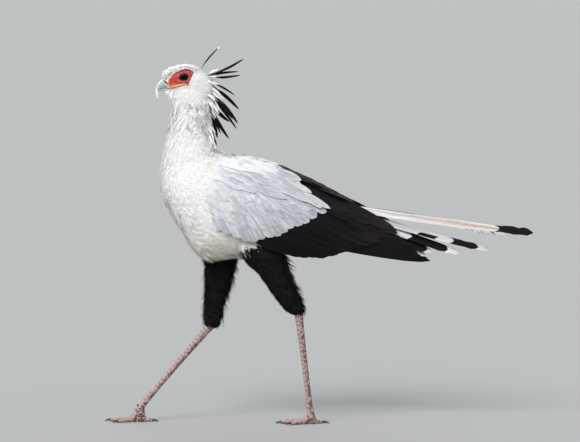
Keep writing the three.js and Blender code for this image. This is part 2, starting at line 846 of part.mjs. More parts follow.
// A bill half: each section is an oval between its top and its bottom, leaning forward down the hook.
function billHalf(rows, slant) {
  const [steps, sides] = [10, 10];
  const rings = [];
  for (let i = 0; i <= steps; i++) {
    const [x, top, bottom, wide] = readList(rows, i / steps);
    const ring = [];
    for (let k = 0; k < sides; k++) {
      const turn = (2 * Math.PI * k) / sides;
      const rise = Math.sin(turn);
      const z = mix(bottom, top, (1 + rise) / 2);
      ring.push(point(x - slant(i / steps) * rise, wide * Math.cos(turn), z));
    }
    rings.push(ring);
  }
  return skinRings(rings);
}

// Head, neck and torso are modelled whole and parted with thin cuts.
const wholeBody = join([
  bodyAlongX(TORSO, TORSO_MESH),
  limb(NECK, NECK_MESH),
  bodyAlongX(HEAD, { steps: 12, sides: 16, lean: HEAD_LEAN }),
]);
const TAIL_CUT = { at: point(140, 0, 608), normal: point(-1, 0, 0) };
const torsoBulk = join([
  bodyAlongX(TORSO, { ...TORSO_MESH, grow: GAP }),
  limb(NECK, { ...NECK_MESH, grow: GAP }),
]);

const sides = { left: -1, right: 1 };
const billPlane = { at: point(BILL_BASE_X, 0, 970), normal: point(1, 0, 0) };

let headSolid = partAbove(wholeBody, HEAD_CUT, 1);
for (const side of [-1, 1]) {
  headSolid = headSolid.subtract(eyeOpening(side));
  headSolid = join([headSolid, lidRing(side), faceRidge(BROW, side, 3.2, 1.2)]);
  headSolid = headSolid.subtract(ball(EYE_RADIUS + GAP, eyeCentre(side)));
  headSolid = headSolid.subtract(mouthCut(side));
}
headSolid = partAbove(headSolid, billPlane, 1);
const onHead = CREST.filter(([, , height]) => height > 930);
const onNeck = CREST.filter(([, , height]) => height <= 930);

const neckSolid = partAbove(partAbove(wholeBody, HEAD_CUT, -1), NECK_CUT, 1);
const torsoSolid = partAbove(partAbove(wholeBody, NECK_CUT, -1), TAIL_CUT, 1);

const bird = new THREE.Group();
bird.add(node("head", join([headSolid, ...onHead.map(crestFeather)]), WHITE));
bird.add(node("neck", join([neckSolid, ...onNeck.map(crestFeather)]), WHITE));

const grownThighs = join(Object.keys(sides).map((which) => thighCore(which, GAP)));
bird.add(node("torso", torsoSolid, WHITE));

const upperBill = billHalf(UPPER_BILL, (t) => 3 * Math.sin(Math.PI * t))
  .subtract(nostrilCut(1))
  .subtract(nostrilCut(-1));
bird.add(node("bill_upper", partAbove(upperBill, billPlane, -1), HORN));
const lowerBill = billHalf(LOWER_BILL, () => 0);
bird.add(node("bill_lower", partAbove(lowerBill, billPlane, -1), HORN));

const tailBase = partAbove(bodyAlongX(TORSO, TORSO_MESH), TAIL_CUT, -1);
const tailFeathers = TAIL.flatMap(([x, z, y, half, roll], i) =>
  [-1, 1].map((side) =>
    openFeather({
      root: point(TAIL_BASE.x - 12, side * Math.min(4 + 2 * i, 13), TAIL_BASE.z + 4 - 2.6 * i),
      tip: point(x, side * y, z),
      sag: -4,
      half,
      roll: side * roll,
      steps: 6,
      full: 0.3,
    }),
  ),
);
bird.add(node("tail", join([tailBase, ...tailFeathers]), GREY));

for (const [which, side] of Object.entries(sides)) {
  const leg = LEGS[which];
  bird.add(node(`eye_${which}`, ball(EYE_RADIUS, eyeCentre(side)), EYE_BROWN));
  bird.add(node(`wing_${which}`, wing(side).subtract(torsoBulk).subtract(grownThighs), GREY));
  bird.add(node(`thigh_${which}`, thigh(which).subtract(torsoBulk), BLACK));
  const footCut = {
    at: leg.foot.clone().lerp(leg.ankle, 0.05),
    normal: leg.ankle.clone().sub(leg.foot).normalize(),
  };
  const shank = join([tarsus(leg), footSolid(leg)]);
  bird.add(node(`tarsus_${which}`, partAbove(shank, footCut, 1).subtract(thighCore(which, GAP)), LEG_SKIN));
  bird.add(node(`foot_${which}`, partAbove(shank, footCut, -1), LEG_SKIN));
  TOES.forEach((toe) => bird.add(node(`claw_${which}_${toe[0]}`, clawSolid(leg, toe), CLAW_HORN)));
}

// The frame's origin is under the middle of the whole bird.
const extent = new THREE.Box3().setFromObject(bird);
const middle = extent.getCenter(new THREE.Vector3());
bird.position.set(-middle.x, -middle.y, -extent.min.z);

export default bird;
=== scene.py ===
import math

import bpy
import numpy as np
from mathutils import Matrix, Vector
from mathutils.bvhtree import BVHTree


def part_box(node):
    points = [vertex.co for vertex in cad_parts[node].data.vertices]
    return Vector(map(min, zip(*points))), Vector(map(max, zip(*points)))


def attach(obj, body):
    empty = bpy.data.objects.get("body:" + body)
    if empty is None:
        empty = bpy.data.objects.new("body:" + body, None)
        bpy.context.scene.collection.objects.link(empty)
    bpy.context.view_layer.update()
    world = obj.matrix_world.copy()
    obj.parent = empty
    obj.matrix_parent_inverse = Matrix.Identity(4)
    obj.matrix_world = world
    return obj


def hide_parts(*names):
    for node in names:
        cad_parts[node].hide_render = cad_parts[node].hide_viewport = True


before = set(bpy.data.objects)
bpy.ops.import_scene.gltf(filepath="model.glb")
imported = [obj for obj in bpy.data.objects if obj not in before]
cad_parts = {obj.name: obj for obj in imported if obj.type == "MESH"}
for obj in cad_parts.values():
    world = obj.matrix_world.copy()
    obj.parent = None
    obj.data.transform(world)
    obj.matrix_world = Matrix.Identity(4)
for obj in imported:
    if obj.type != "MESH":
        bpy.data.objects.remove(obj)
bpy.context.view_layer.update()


# Camera, floor and lights. The bird was drawn in millimetres with its left eye's centre at EYE, so that
# point gives the way from the drawing to the frame. A long lens stands level with the flank, and one broad
# light from the upper left works with a bright, even surround.
EYE = np.array([-329.5, -15.0, 989.5])
low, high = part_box("eye_left")
SHIFT = (np.array(low) + np.array(high)) * 500 - EYE


def metres(points):
    """Points of the drawing, in millimetres, as points of the frame, in metres."""
    return (np.asarray(points, float) + SHIFT) / 1000


VIEW_WIDE = 1.653
VIEW_FROM = 12.0
VIEW_DOWN = math.radians(4)
VIEW_MIDDLE = Vector(metres([-28.5, 0, 578.5]))

camera = bpy.data.objects.new("camera", bpy.data.cameras.new("camera"))
camera.data.lens = camera.data.sensor_width * VIEW_FROM / VIEW_WIDE
camera.data.clip_end = 500
camera.location = VIEW_MIDDLE + Vector((0, -math.cos(VIEW_DOWN), math.sin(VIEW_DOWN))) * VIEW_FROM
camera.rotation_euler = (math.pi / 2 - VIEW_DOWN, 0, 0)
bpy.context.scene.collection.objects.link(camera)
bpy.context.scene.camera = camera


def soft_light(name, way, power, spread, colour):
    lamp = bpy.data.lights.new(name, "SUN")
    lamp.angle = math.radians(spread)
    lamp.energy = power
    lamp.color = colour
    light = bpy.data.objects.new(name, lamp)
    light.rotation_euler = Vector(way).to_track_quat("-Z", "Y").to_euler()
    bpy.context.scene.collection.objects.link(light)


soft_light("key_light", (0.40, 0.80, -0.80), 2.6, 30, (1.0, 0.985, 0.96))
soft_light("back_light", (-0.1, -0.8, -0.7), 0.5, 50, (1.0, 1.0, 1.0))

world = bpy.data.worlds.new("surround")
world.use_nodes = True
world.node_tree.nodes["Background"].inputs["Color"].default_value = (0.86, 0.89, 0.93, 1)
world.node_tree.nodes["Background"].inputs["Strength"].default_value = 0.84
bpy.context.scene.world = world
bpy.context.scene.view_settings.view_transform = "Standard"

bpy.ops.mesh.primitive_plane_add(size=600)
floor = bpy.context.object
floor.name = "floor"
floor_paint = bpy.data.materials.new("floor_paint")
floor_paint.use_nodes = True
floor_look = {"Base Color": (0.365, 0.37, 0.365, 1), "Roughness": 0.95, "Specular IOR Level": 0.1}
for label, value in floor_look.items():
    floor_paint.node_tree.nodes["Principled BSDF"].inputs[label].default_value = value
floor.data.materials.append(floor_paint)


# Skin. One skin runs from the bill's base over head, neck, breast and belly to the tail's root and down
# both thighs to the ankles. It lies a feather's depth inside the bird's outline and only shows as pale
# down between the feathers. Tables give each section in millimetres.
def smooth(t):
    u = np.clip(t, 0, 1)
    return u * u * (3 - 2 * u)


def ease(value, start, end):
    """0 up to start, 1 from end on, and a smooth change between. The end may be the lower of the two."""
    return smooth((value - start) / (end - start))


def mix(a, b, t):
    return a + (b - a) * t


def read(rows, keys):
    """A table at values of its first column, with smooth slopes from row to row."""
    rows = np.asarray(rows, float)
    x = rows[:, 0]
    keys = np.clip(np.asarray(keys, float), x[0], x[-1])
    i = np.clip(np.searchsorted(x, keys, side="right") - 1, 0, len(x) - 2)
    before = np.maximum(np.arange(len(x)) - 1, 0)
    after = np.minimum(np.arange(len(x)) + 1, len(x) - 1)
    slope = (rows[after] - rows[before]) / (x[after] - x[before])[:, None]
    span = (x[i + 1] - x[i])[..., None]
    t = (keys - x[i])[..., None] / span
    h = 2 * t**3 - 3 * t**2 + 1
    start = h * rows[i] + (t**3 - 2 * t**2 + t) * span * slope[i]
    return start + (1 - h) * rows[i + 1] + (t**3 - t**2) * span * slope[i + 1]


def read_list(rows, t):
    """A list of rows without a key, read by its share from the first row to the last."""
    rows = np.asarray(rows, float)
    keyed = np.column_stack([np.linspace(0, 1, len(rows)), rows])
    return read(keyed, t)[..., 1:]


def unit(v):
    return v / np.maximum(np.linalg.norm(v, axis=-1, keepdims=True), 1e-9)


def mesh_object(name, points, faces, material=None):
    """A smooth mesh from points of the drawing and lists of faces of three or four corners."""
    faces = [np.asarray(f, np.int32) for f in faces if len(f)]
    corners = np.concatenate([f.ravel() for f in faces])
    sizes = np.concatenate([np.full(len(f), f.shape[1], np.int32) for f in faces])
    mesh = bpy.data.meshes.new(name)
    mesh.vertices.add(len(points))
    mesh.vertices.foreach_set("co", metres(points).astype(np.float32).ravel())
    mesh.loops.add(len(corners))
    mesh.loops.foreach_set("vertex_index", corners)
    mesh.polygons.add(len(sizes))
    mesh.polygons.foreach_set("loop_start", np.concatenate([[0], np.cumsum(sizes)[:-1]]).astype(np.int32))
    mesh.update(calc_edges=True)
    mesh.shade_smooth()
    piece = bpy.data.objects.new(name, mesh)
    bpy.context.scene.collection.objects.link(piece)
    if material:
        mesh.materials.append(material)
    return piece


def ring_faces(rings, sides):
    """Quads over rings of points that follow one another, each closed round."""
    r, k = np.meshgrid(np.arange(rings - 1), np.arange(sides), indexing="ij")
    a = r * sides + k
    b = r * sides + (k + 1) % sides
    return np.stack([a, b, b + sides, a + sides], -1).reshape(-1, 4)


def capped(rings):
    """Points and faces of a closed skin over rings, an array of ring, side and xyz."""
    count, sides = rings.shape[:2]
    points = np.concatenate([rings.reshape(-1, 3), rings[0].mean(0)[None], rings[-1].mean(0)[None]])
    k = np.arange(sides)
    start = np.stack([(k + 1) % sides, k, np.full(sides, count * sides)], -1)
    last = (count - 1) * sides
    end = np.stack([last + k, last + (k + 1) % sides, np.full(sides, count * sides + 1)], -1)
    return points, [ring_faces(count, sides), np.concatenate([start, end])]


def joined(skins):
    """Several closed skins, each its points and faces, as one."""
    points, quads, ends, first = [], [], [], 0
    for its_points, (its_quads, its_ends) in skins:
        points.append(its_points)
        quads.append(its_quads + first)
        ends.append(its_ends + first)
        first += len(its_points)
    return np.concatenate(points), [np.concatenate(quads), np.concatenate(ends)]


def body_along_x(rows, steps, sides, lean=0.0, grow=0.0):
    """Rings of a body whose upright sections lie along X: x, centre z, half height, half width."""
    share = (1 - np.cos(np.pi * np.arange(steps + 1) / steps)) / 2
    x, z, tall, wide = read(rows, mix(rows[0][0], rows[-1][0], share)).T[:4, :, None]
    turn = 2 * np.pi * np.arange(sides) / sides
    y = (wide + grow) * np.cos(turn) * (1 + lean * np.sin(turn))
    return np.stack([x + 0 * y, y, z + (tall + grow) * np.sin(turn)], -1)


def limb(rows, steps, sides, grow=0.0, floor_at=None):
    """Rings of a limb along a path. Rows hold x, y, z, half depth, half width."""
    t = np.arange(steps + 1) / steps
    here = read_list(rows, t)
    along = unit(read_list(rows, t + 0.02)[:, :3] - read_list(rows, t - 0.02)[:, :3])
    side = unit(np.array([0, 1.0, 0]) - along * along[:, 1:2])
    front = np.cross(side, along)
    turn = 2 * np.pi * np.arange(sides) / sides
    reach = [(here[:, 3 + i, None, None] + grow) for i in (0, 1)]
    rings = here[:, None, :3] + front[:, None] * reach[0] * np.cos(turn)[None, :, None]
    rings = rings + side[:, None] * reach[1] * np.sin(turn)[None, :, None]
    if floor_at is not None:
        rings[..., 2] = np.maximum(rings[..., 2], floor_at)
    return rings


TORSO = [
    [-396, 700, 13, 12], [-385, 698, 54, 38], [-365, 688, 84, 62], [-336, 668, 118, 82],
    [-299, 641, 148, 94], [-265, 630, 160, 99], [-228, 626, 155, 101], [-171, 618, 142, 101],
    [-114, 620, 130, 97], [-57, 620, 107, 87], [0, 614, 84, 71], [57, 607, 61, 51],
    [114, 604, 38, 34], [165, 602, 20, 22],
]
NECK = [
    [-271, 0, 653, 86, 60], [-296, 0, 701, 97, 66], [-312, 0, 744, 83, 60], [-315, 0, 781, 74, 53],
    [-312, 0, 815, 67, 47], [-308, 0, 852, 60, 42], [-306, 0, 889, 56, 39], [-308, 0, 923, 55, 37],
    [-314, 0, 952, 48, 32], [-319, 0, 975, 20, 18],
]
BILL_BASE_X = -379.0
HEAD = [
    [BILL_BASE_X, 972, 23, 15.5], [-370, 974, 31, 19], [-359, 976, 36, 22], [-342, 978, 42, 26],
    [-322, 977, 46, 29], [-302, 972, 47, 31], [-282, 965, 45, 30], [-265, 960, 36, 26],
    [-254, 958, 23, 17], [-249, 957, 8, 7],
]
HEAD_LEAN = 0.12
THIGH = {
    "left": [
        [-140, -48, 560, 60, 40], [-118, -51, 505, 54, 41], [-90, -51, 465, 45, 37],
        [-66, -50, 421, 38, 32], [-41, -48, 375, 32, 27], [-20, -46, 342, 27, 24],
        [-8, -45, 324, 20, 19], [-3, -44, 316, 10, 11],
    ],
    "right": [
        [-222, 46, 540, 50, 40], [-229, 47, 490, 47, 38], [-233, 46, 440, 39, 34],
        [-238, 45, 395, 33, 29], [-246, 43, 350, 28, 25], [-251, 42, 310, 26, 23],
        [-252, 41, 285, 24, 21], [-251, 40, 271, 16, 13],
    ],
}
SIDES = {"left": -1, "right": 1}

# How far the skin lies inside the outline under each kind of plumage
DEPTH = {"torso": 8.0, "neck": 7.0, "head": 3.0, "thigh": 7.0}
SKIN_VOXEL = 0.0032

skin = mesh_object("skin", *joined([
    capped(body_along_x(TORSO, 40, 48, grow=-DEPTH["torso"])),
    capped(limb(NECK, 40, 40, grow=-DEPTH["neck"])),
    capped(body_along_x(HEAD, 40, 40, lean=HEAD_LEAN, grow=-DEPTH["head"])),
    *[capped(limb(rows, 30, 28, grow=-DEPTH["thigh"])) for rows in THIGH.values()],
]))
remesh = skin.modifiers.new("one_skin", "REMESH")
remesh.mode = "VOXEL"
remesh.voxel_size = SKIN_VOXEL
soften = skin.modifiers.new("soften", "SMOOTH")
soften.iterations = 14
graph = bpy.context.evaluated_depsgraph_get()
skin.data = bpy.data.meshes.new_from_object(skin.evaluated_get(graph))
skin.modifiers.clear()
skin.data.shade_smooth()
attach(skin, "root")
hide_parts("head", "neck", "torso", "thigh_left", "thigh_right")


# Body coat. White contour feathers cover the skin in small pointed clumps of barbs: shortest on the face,
# shaggy on the neck, broad and soft on breast and belly. Each barb is a thin blade rooted on the skin, and
# follows it down the lie of the coat.
def values_of(elements, key, width, kind=np.float32):
    """One value or vector of each of a mesh's elements."""
    values = np.zeros(len(elements) * width, kind)
    elements.foreach_get(key, values)
    return values.reshape(-1, width)


skin_faces = values_of(skin.data.loops, "vertex_index", 1, np.int32).reshape(-1, 4)
skin_points = values_of(skin.data.vertices, "co", 3).astype(float) * 1000 - SHIFT
skin_normals = values_of(skin.data.vertex_normals, "vector", 3).astype(float)
skin_tree = BVHTree.FromPolygons(skin_points.tolist(), skin_faces.tolist())


def settle(points):
    """The nearest places on the skin, with its soft normals there."""
    flat = points.reshape(-1, 3).tolist()
    found = [skin_tree.find_nearest(p) for p in flat]
    on = np.array([f[0] for f in found])
    normal = unit(skin_normals[skin_faces[[f[2] for f in found]]].mean(1))
    return on.reshape(points.shape), normal.reshape(points.shape)


corner = skin_points[skin_faces]
face_area = np.linalg.norm(np.cross(corner[:, 2] - corner[:, 0], corner[:, 3] - corner[:, 1]), axis=1) / 2
face_middle = corner.mean(1)
face_normal = unit(skin_normals[skin_faces].mean(1))


def scatter(keep, spacing, rng):
    """Random roots on the faces that keep is true for, one to each square of the spacing."""
    faces = np.flatnonzero(keep)
    weight = face_area[faces]
    count = int(weight.sum() / spacing**2)
    pick = faces[rng.choice(len(faces), count, p=weight / weight.sum())]
    u, v = rng.random((2, count, 1))
    quad = corner[pick]
    place = mix(mix(quad[:, 0], quad[:, 1], u), mix(quad[:, 3], quad[:, 2], u), v)
    return place, face_normal[pick]


def torso_fit(p):
    """How far out a point lies in the torso's section at its x: 1 on the outline."""
    _, middle, tall, wide = read(TORSO, p[..., 0]).T
    return np.hypot((p[..., 2] - middle) / tall, p[..., 1] / wide)


# Where the head's coat and the neck's begin in side view: a height at an x, and how fast it climbs rearward
HEAD_FLOOR = {"z": 935, "x": -312, "climb": 0.1}
NECK_FLOOR = {"z": 764, "x": -318, "climb": 0.32}
# A thigh's coat takes what is lower than its top and lies far enough out in the torso's section
THIGH_TOP = 520
THIGH_FIT = 0.945
# Each face counts as a few millimetres off its place, so that no line shows between pieces of the coat
FACE_UNEVEN = 9
face_place = face_middle + np.random.default_rng(9).normal(0, FACE_UNEVEN, (len(face_middle), 1))


def above(floor):
    return face_place[:, 2] - floor["z"] - floor["climb"] * (face_middle[:, 0] - floor["x"])


on_thigh = (face_middle[:, 2] < THIGH_TOP) & (torso_fit(face_middle) > THIGH_FIT)
on_head = above(HEAD_FLOOR) > 0
on_neck = (above(NECK_FLOOR) > 0) & ~on_head
on_torso = ~on_head & ~on_neck & ~on_thigh


# The black flank starts behind a line that slants rearward as it climbs, and ends at a top and a rear
FLANK = {"x": -171, "z": 490, "slant": 1.2, "top": 566, "rear": 66}


def behind_flank_line(p):
    return p[..., 0] - FLANK["x"] - FLANK["slant"] * (p[..., 2] - FLANK["z"])


def in_flank(p):
    """1 where the trunk is black, and 0 where it is white."""
    below = ease(p[..., 2], FLANK["top"], FLANK["top"] - 8)
    ahead = ease(p[..., 0], FLANK["rear"], FLANK["rear"] - 10)
    return smooth(behind_flank_line(p) / 10 + 0.5) * below * ahead


def lie(p, n):
    """The way the coat lies at points of the skin: back over head and trunk, down the neck and thighs."""
    x, z = p[..., 0], p[..., 2]
    torso = ease(z, 770, 660)
    head = ease(z, 940, 970)
    crown = ease(x, -315, -360)
    throat = ease(z, 966, 954) * ease(x, -325, -345)
    belly = ease(z, 520, 470)
    back = mix(0.1, mix(0.95, 0.5, belly), torso)
    up = mix(-1.0, mix(-0.62, -0.85, belly), torso)
    back = mix(back, mix(1.0, 0.25, throat), head)
    up = mix(up, mix(mix(-0.75, 0.45, crown), -1.0, throat), head)
    way = np.stack([back, 0 * back, up], -1)
    return unit(way - n * (way * n).sum(-1, keepdims=True))


def keep_vectors(piece, name, vectors):
    """Three values on each point of a piece, which its material reads by the name."""
    layer = piece.data.attributes.new(name, "FLOAT_VECTOR", "POINT")
    layer.data.foreach_set("vector", np.asarray(vectors, np.float32).ravel())


def painted(piece, *channels):
    """Up to three channels of paint on a piece's points. What they don't reach, such as its ends, gets 0."""
    paint = np.zeros((len(piece.data.vertices), 3))
    for i, channel in enumerate(channels):
        paint[:np.size(channel), i] = np.ravel(channel)
    keep_vectors(piece, "paint", paint)


def sheet_faces(count, stations, columns, first=0):
    """Quads over sheets of points, each sheet some stations long and columns wide."""
    a = first + (np.arange(count) * stations * columns)[:, None, None]
    a = a + np.arange(stations - 1)[:, None] * columns + np.arange(columns - 1)
    return np.stack([a, a + 1, a + columns + 1, a + columns], -1).reshape(-1, 4)


def sheet_mesh(name, points, faces, feather, tone, bake, material):
    """One mesh of feathers. feather is across, along and chance, and bake each point's place on the map."""
    piece = mesh_object(name, points.reshape(-1, 3), [faces], material)
    keep_vectors(piece, "feather", feather)
    keep_vectors(piece, "tone", tone)
    layer = piece.data.uv_layers.new(name="OFBake")
    layer.data.foreach_set("uv", bake.reshape(-1, 2)[faces.ravel()].astype(np.float32).ravel())
    return piece


TUFT_PATCH = 0.003
BLADE_SHARES = np.array([0.0, 0.34, 0.7, 1.0])
BLADE_WIDTH = np.array([0.6, 1.0, 0.8, 0.06])
SILK = 0.24
RAGGED = 0.25


def grow_coat(name, roots, normals, size, tone, unwrap, rng, material, barbs, stray, rough=0.12):
    """Clumps of barbs over the skin. size has one value for each root, in millimetres: a clump's length, its
    barbs' half width, half the clump's breadth at its root, how proud its tip stands and how far it hangs."""
    count = len(roots)
    many = count * barbs
    keys = ("length", "half", "broad", "proud", "hang")
    length, half, broad, proud, hang = (np.repeat(size[key], barbs) for key in keys)
    clump_turn = np.repeat(rng.normal(0, stray, count), barbs)
    clump_rise = np.repeat(rng.normal(0, rough, count), barbs)
    chance = np.repeat(rng.random(count), barbs)
    p, n = np.repeat(roots, barbs, axis=0), np.repeat(normals, barbs, axis=0)
    place = np.tile(np.linspace(-1, 1, barbs), count)
    reach = length * (1 - 0.25 * np.abs(place) ** 1.5) * rng.uniform(1 - RAGGED, 1 + RAGGED / 2, many)
    # The barbs of a clump start side by side and gather towards its tip
    turn = clump_turn - 0.8 * place * broad / reach + rng.normal(0, 0.06, many)
    rise = proud * (1 + clump_rise) + rng.normal(0, 0.5, many)
    width = (half * rng.uniform(0.8, 1.15, many))[:, None] * BLADE_WIDTH
    # Each barb is shaded as if turned a little to one side, which gives the coat its silky streaks
    silk = rng.normal(0, SILK, many) + np.repeat(rng.normal(0, SILK / 2, count), barbs)
    d = lie(p, n)
    p = p + np.cross(n, d) * (place * broad)[:, None]
    grid = np.empty((many, len(BLADE_SHARES), 2, 3))
    soft = np.empty(grid.shape)
    before = 0.0
    for i, share in enumerate(BLADE_SHARES):
        step = reach * (share - before)
        before = share
        p, n = settle(p + d * step[:, None] + np.cross(n, d) * (turn * step)[:, None])
        d = lie(p, n)
        spine = p + n * mix(0.3, rise, share**1.25)[:, None] - np.outer(hang * share**1.6, (0, 0, 1.0))
        across = np.cross(n, d) * width[:, i, None]
        grid[:, i, 0] = spine - across
        grid[:, i, 1] = spine + across
        soft[:, i] = unit(n - d * (rise / reach)[:, None] + np.cross(n, d) * silk[:, None])[:, None]
    feather = np.empty(grid.shape)
    feather[..., 0] = (-1, 1)
    feather[..., 1] = BLADE_SHARES[None, :, None]
    feather[..., 2] = (chance * 0.8 + rng.random(many) * 0.2)[:, None, None]
    tones = np.broadcast_to(np.repeat(tone, barbs, axis=0)[:, None, None], grid.shape)
    home = np.repeat(unwrap, barbs, axis=0)[:, None, None]
    bake = home + TUFT_PATCH * np.stack([feather[..., 0] / 2, feather[..., 1] - 0.5], -1)
    # The corners run the other way round, so that the blades face outwards
    faces = sheet_faces(*grid.shape[:3])[:, [0, 3, 2, 1]]
    piece = sheet_mesh(name, grid, faces, feather, tones, bake, material)
    piece.data.normals_split_custom_set_from_vertices(soft.reshape(-1, 3))
    return piece


def turn_and_share(p, middle_y, across_axis, along, ends):
    """A skin point's place on an unwrap round an axis: its turn, and its share of the way along."""
    turn = np.arctan2(p[:, 1] - middle_y, across_axis)
    share = (along - ends[0]) / (ends[1] - ends[0])
    return np.clip(np.stack([turn / (2 * np.pi) + 0.5, share], -1), 0.003, 0.997)


def streaks(p, size, seed):
    """Soft uneven streaks over the body, 0 to 1, from a few waves at set angles."""
    rng = np.random.default_rng(seed)
    total = np.zeros(len(p))
    for _ in range(9):
        wave = rng.normal(0, 1, 3) / np.asarray(size)
        total += np.sin(p @ wave * 2 * np.pi + rng.random() * 6.3)
    return np.clip(0.5 + total / 6, 0, 1)


def shader(name):
    """A new material with its node tree, its shader and short ways to add and join nodes."""
    material = bpy.data.materials.new(name)
    material.use_nodes = True
    material.use_backface_culling = False
    return material, Tree(material.node_tree)


class Tree:
    """Short ways to write a node tree: values and sockets go in by input name or number."""

    def __init__(self, tree):
        self.tree = tree

    def add(self, kind, out=0, settings=None, **inputs):
        node = self.tree.nodes.new(kind)
        for key, value in (settings or {}).items():
            setattr(node, key, value)
        for key, value in inputs.items():
            slot = int(key[1:]) if key[0] == "i" and key[1:].isdigit() else key.replace("_", " ")
            self.put(node.inputs[slot], value)
        return node.outputs[out]

    def put(self, socket, value):
        if isinstance(value, bpy.types.NodeSocket):
            self.tree.links.new(value, socket)
        elif hasattr(socket.default_value, "__len__"):
            socket.default_value = (*value, 1) if len(socket.default_value) == 4 else value
        else:
            socket.default_value = value

    def math(self, operation, a, b=0.0, c=0.0):
        return self.add("ShaderNodeMath", settings={"operation": operation}, i0=a, i1=b, i2=c)

    def ramp(self, value, low, high, start=0.0, end=1.0):
        settings = {"interpolation_type": "SMOOTHSTEP"}
        return self.add("ShaderNodeMapRange", settings=settings, i0=value, i1=low, i2=high, i3=start, i4=end)

    def blend(self, share, a, b, mode="MIX"):
        node = self.tree.nodes.new("ShaderNodeMix")
        node.data_type = "RGBA"
        node.blend_type = mode
        for slot, value in ((0, share), (6, a), (7, b)):
            self.put(node.inputs[slot], value)
        return node.outputs[2]

    def noise(self, scale, detail=2.0, where=None, **settings):
        where = {} if where is None else {"Vector": where}
        return self.add("ShaderNodeTexNoise", Scale=scale, Detail=detail, **where, **settings)

    def attribute(self, name):
        node = self.tree.nodes.new("ShaderNodeAttribute")
        node.attribute_name = name
        split = self.tree.nodes.new("ShaderNodeSeparateXYZ")
        self.tree.links.new(node.outputs["Vector"], split.inputs[0])
        return split.outputs

    def group(self, group, **inputs):
        node = self.tree.nodes.new("ShaderNodeGroup")
        node.node_tree = group
        for key, value in inputs.items():
            self.put(node.inputs[key.replace("_", " ")], value)
        return node.outputs

    def surface(self, **inputs):
        sockets = self.tree.nodes["Principled BSDF"].inputs
        for key, value in inputs.items():
            self.put(sockets[key.replace("_", " ")], value)

    def bump(self, height, strength=1.0, distance=0.001):
        return self.add("ShaderNodeBump", Height=height, Strength=strength, Distance=distance)


def node_group(name, inputs, outputs):
    """An empty shader node group with its named sockets. inputs maps each name to its kind and value."""
    group = bpy.data.node_groups.new(name, "ShaderNodeTree")
    kinds = {"value": "NodeSocketFloat", "colour": "NodeSocketColor"}
    for label, (kind, value) in inputs.items():
        socket = group.interface.new_socket(label, in_out="INPUT", socket_type=kinds[kind])
        socket.default_value = (*value, 1) if kind == "colour" else value
    for label, kind in outputs.items():
        group.interface.new_socket(label, in_out="OUTPUT", socket_type=kinds[kind])
    tree = Tree(group)
    start = group.nodes.new("NodeGroupInput")
    end = group.nodes.new("NodeGroupOutput")
    return group, tree, start.outputs, end.inputs


# Barbs: fine ridges that slant from the shaft to a vane's edge. Across runs -1 to 1, and along 0 to 1.
barb_group, tree, given, result = node_group(
    "barbs",
    {"Across": ("value", 0.0), "Along": ("value", 0.0), "Rows": ("value", 60.0), "Slant": ("value", 0.25)},
    {"Ridges": "value", "Shaft": "value"},
)
off_shaft = tree.math("ABSOLUTE", given["Across"])
slanted = tree.math("SUBTRACT", given["Along"], tree.math("MULTIPLY", off_shaft, given["Slant"]))
uneven = tree.math("MULTIPLY", tree.noise(900.0, 1.0), 1.6)
turns = tree.math("MULTIPLY", tree.math("MULTIPLY", slanted, given["Rows"]), 6.283)
wave = tree.math("SINE", tree.math("ADD", turns, uneven))
tree.put(result["Ridges"], tree.math("MULTIPLY_ADD", wave, 0.5, 0.5))
tree.put(result["Shaft"], tree.ramp(off_shaft, 0.10, 0.03))

# Plumage tone: mixes a darker colour at the root, painted shade where the clumps cover one another, into the
# tip's colour, then greys it by the tone, in uneven patches.
tone_group, tree, given, result = node_group(
    "plumage_tone",
    {
        "Root": ("colour", (0.5, 0.5, 0.5)), "Tip": ("colour", (0.8, 0.8, 0.8)),
        "Shade": ("colour", (0.4, 0.4, 0.4)), "Along": ("value", 0.0), "Tone": ("value", 0.0),
        "Chance": ("value", 0.5),
    },
    {"Color": "colour"},
)
# The darker root is painted shade between the clumps
base = tree.blend(tree.ramp(given["Along"], 0.05, 0.75), given["Root"], given["Tip"])
patch = tree.math("MULTIPLY_ADD", tree.noise(55.0, 3.0), 0.7, -0.35)
tone = tree.math("MULTIPLY", given["Tone"], tree.math("MULTIPLY_ADD", given["Chance"], 0.9, 0.55))
tone = tree.math("ADD", tone, tree.math("MULTIPLY", patch, given["Tone"]))
tree.put(result["Color"], tree.blend(tree.ramp(tone, 0.0, 1.0), base, given["Shade"]))


def down_material(name, root, tip, shade, warm_shade, roughness=0.85, sheen=0.12, gloss=0.25):
    """Body plumage: a darker root colour for painted shade between clumps, a tip colour, the shade it greys
    to, and a warm tint for painted shade under the belly.
    """
    material, tree = shader(name)
    across, along, chance = tree.attribute("feather")
    tone, warm_shade_share, _ = tree.attribute("tone")
    toned = tree.group(tone_group, Root=root, Tip=tip, Shade=shade, Along=along, Tone=tone, Chance=chance)
    # Where the tone's second channel is set, the colour is multiplied by a warm tint: painted warm shade
    colour = tree.blend(warm_shade_share, toned["Color"], tree.blend(1.0, toned["Color"], warm_shade, "MULTIPLY"))
    ridges = tree.group(barb_group, Across=across, Along=along, Rows=26.0)["Ridges"]
    tree.surface(Base_Color=colour, Roughness=roughness, Sheen_Weight=sheen, Specular_IOR_Level=gloss,
                 Normal=tree.bump(ridges, 0.35, 0.0004))
    return material


# The darker root is painted shade between the clumps, and the cream tint is painted warm shade low on the
# belly
white_down = down_material(
    "white_down", root=(0.80, 0.80, 0.80), tip=(0.90, 0.895, 0.885), shade=(0.40, 0.41, 0.43),
    warm_shade=(1.0, 0.90, 0.74),
)

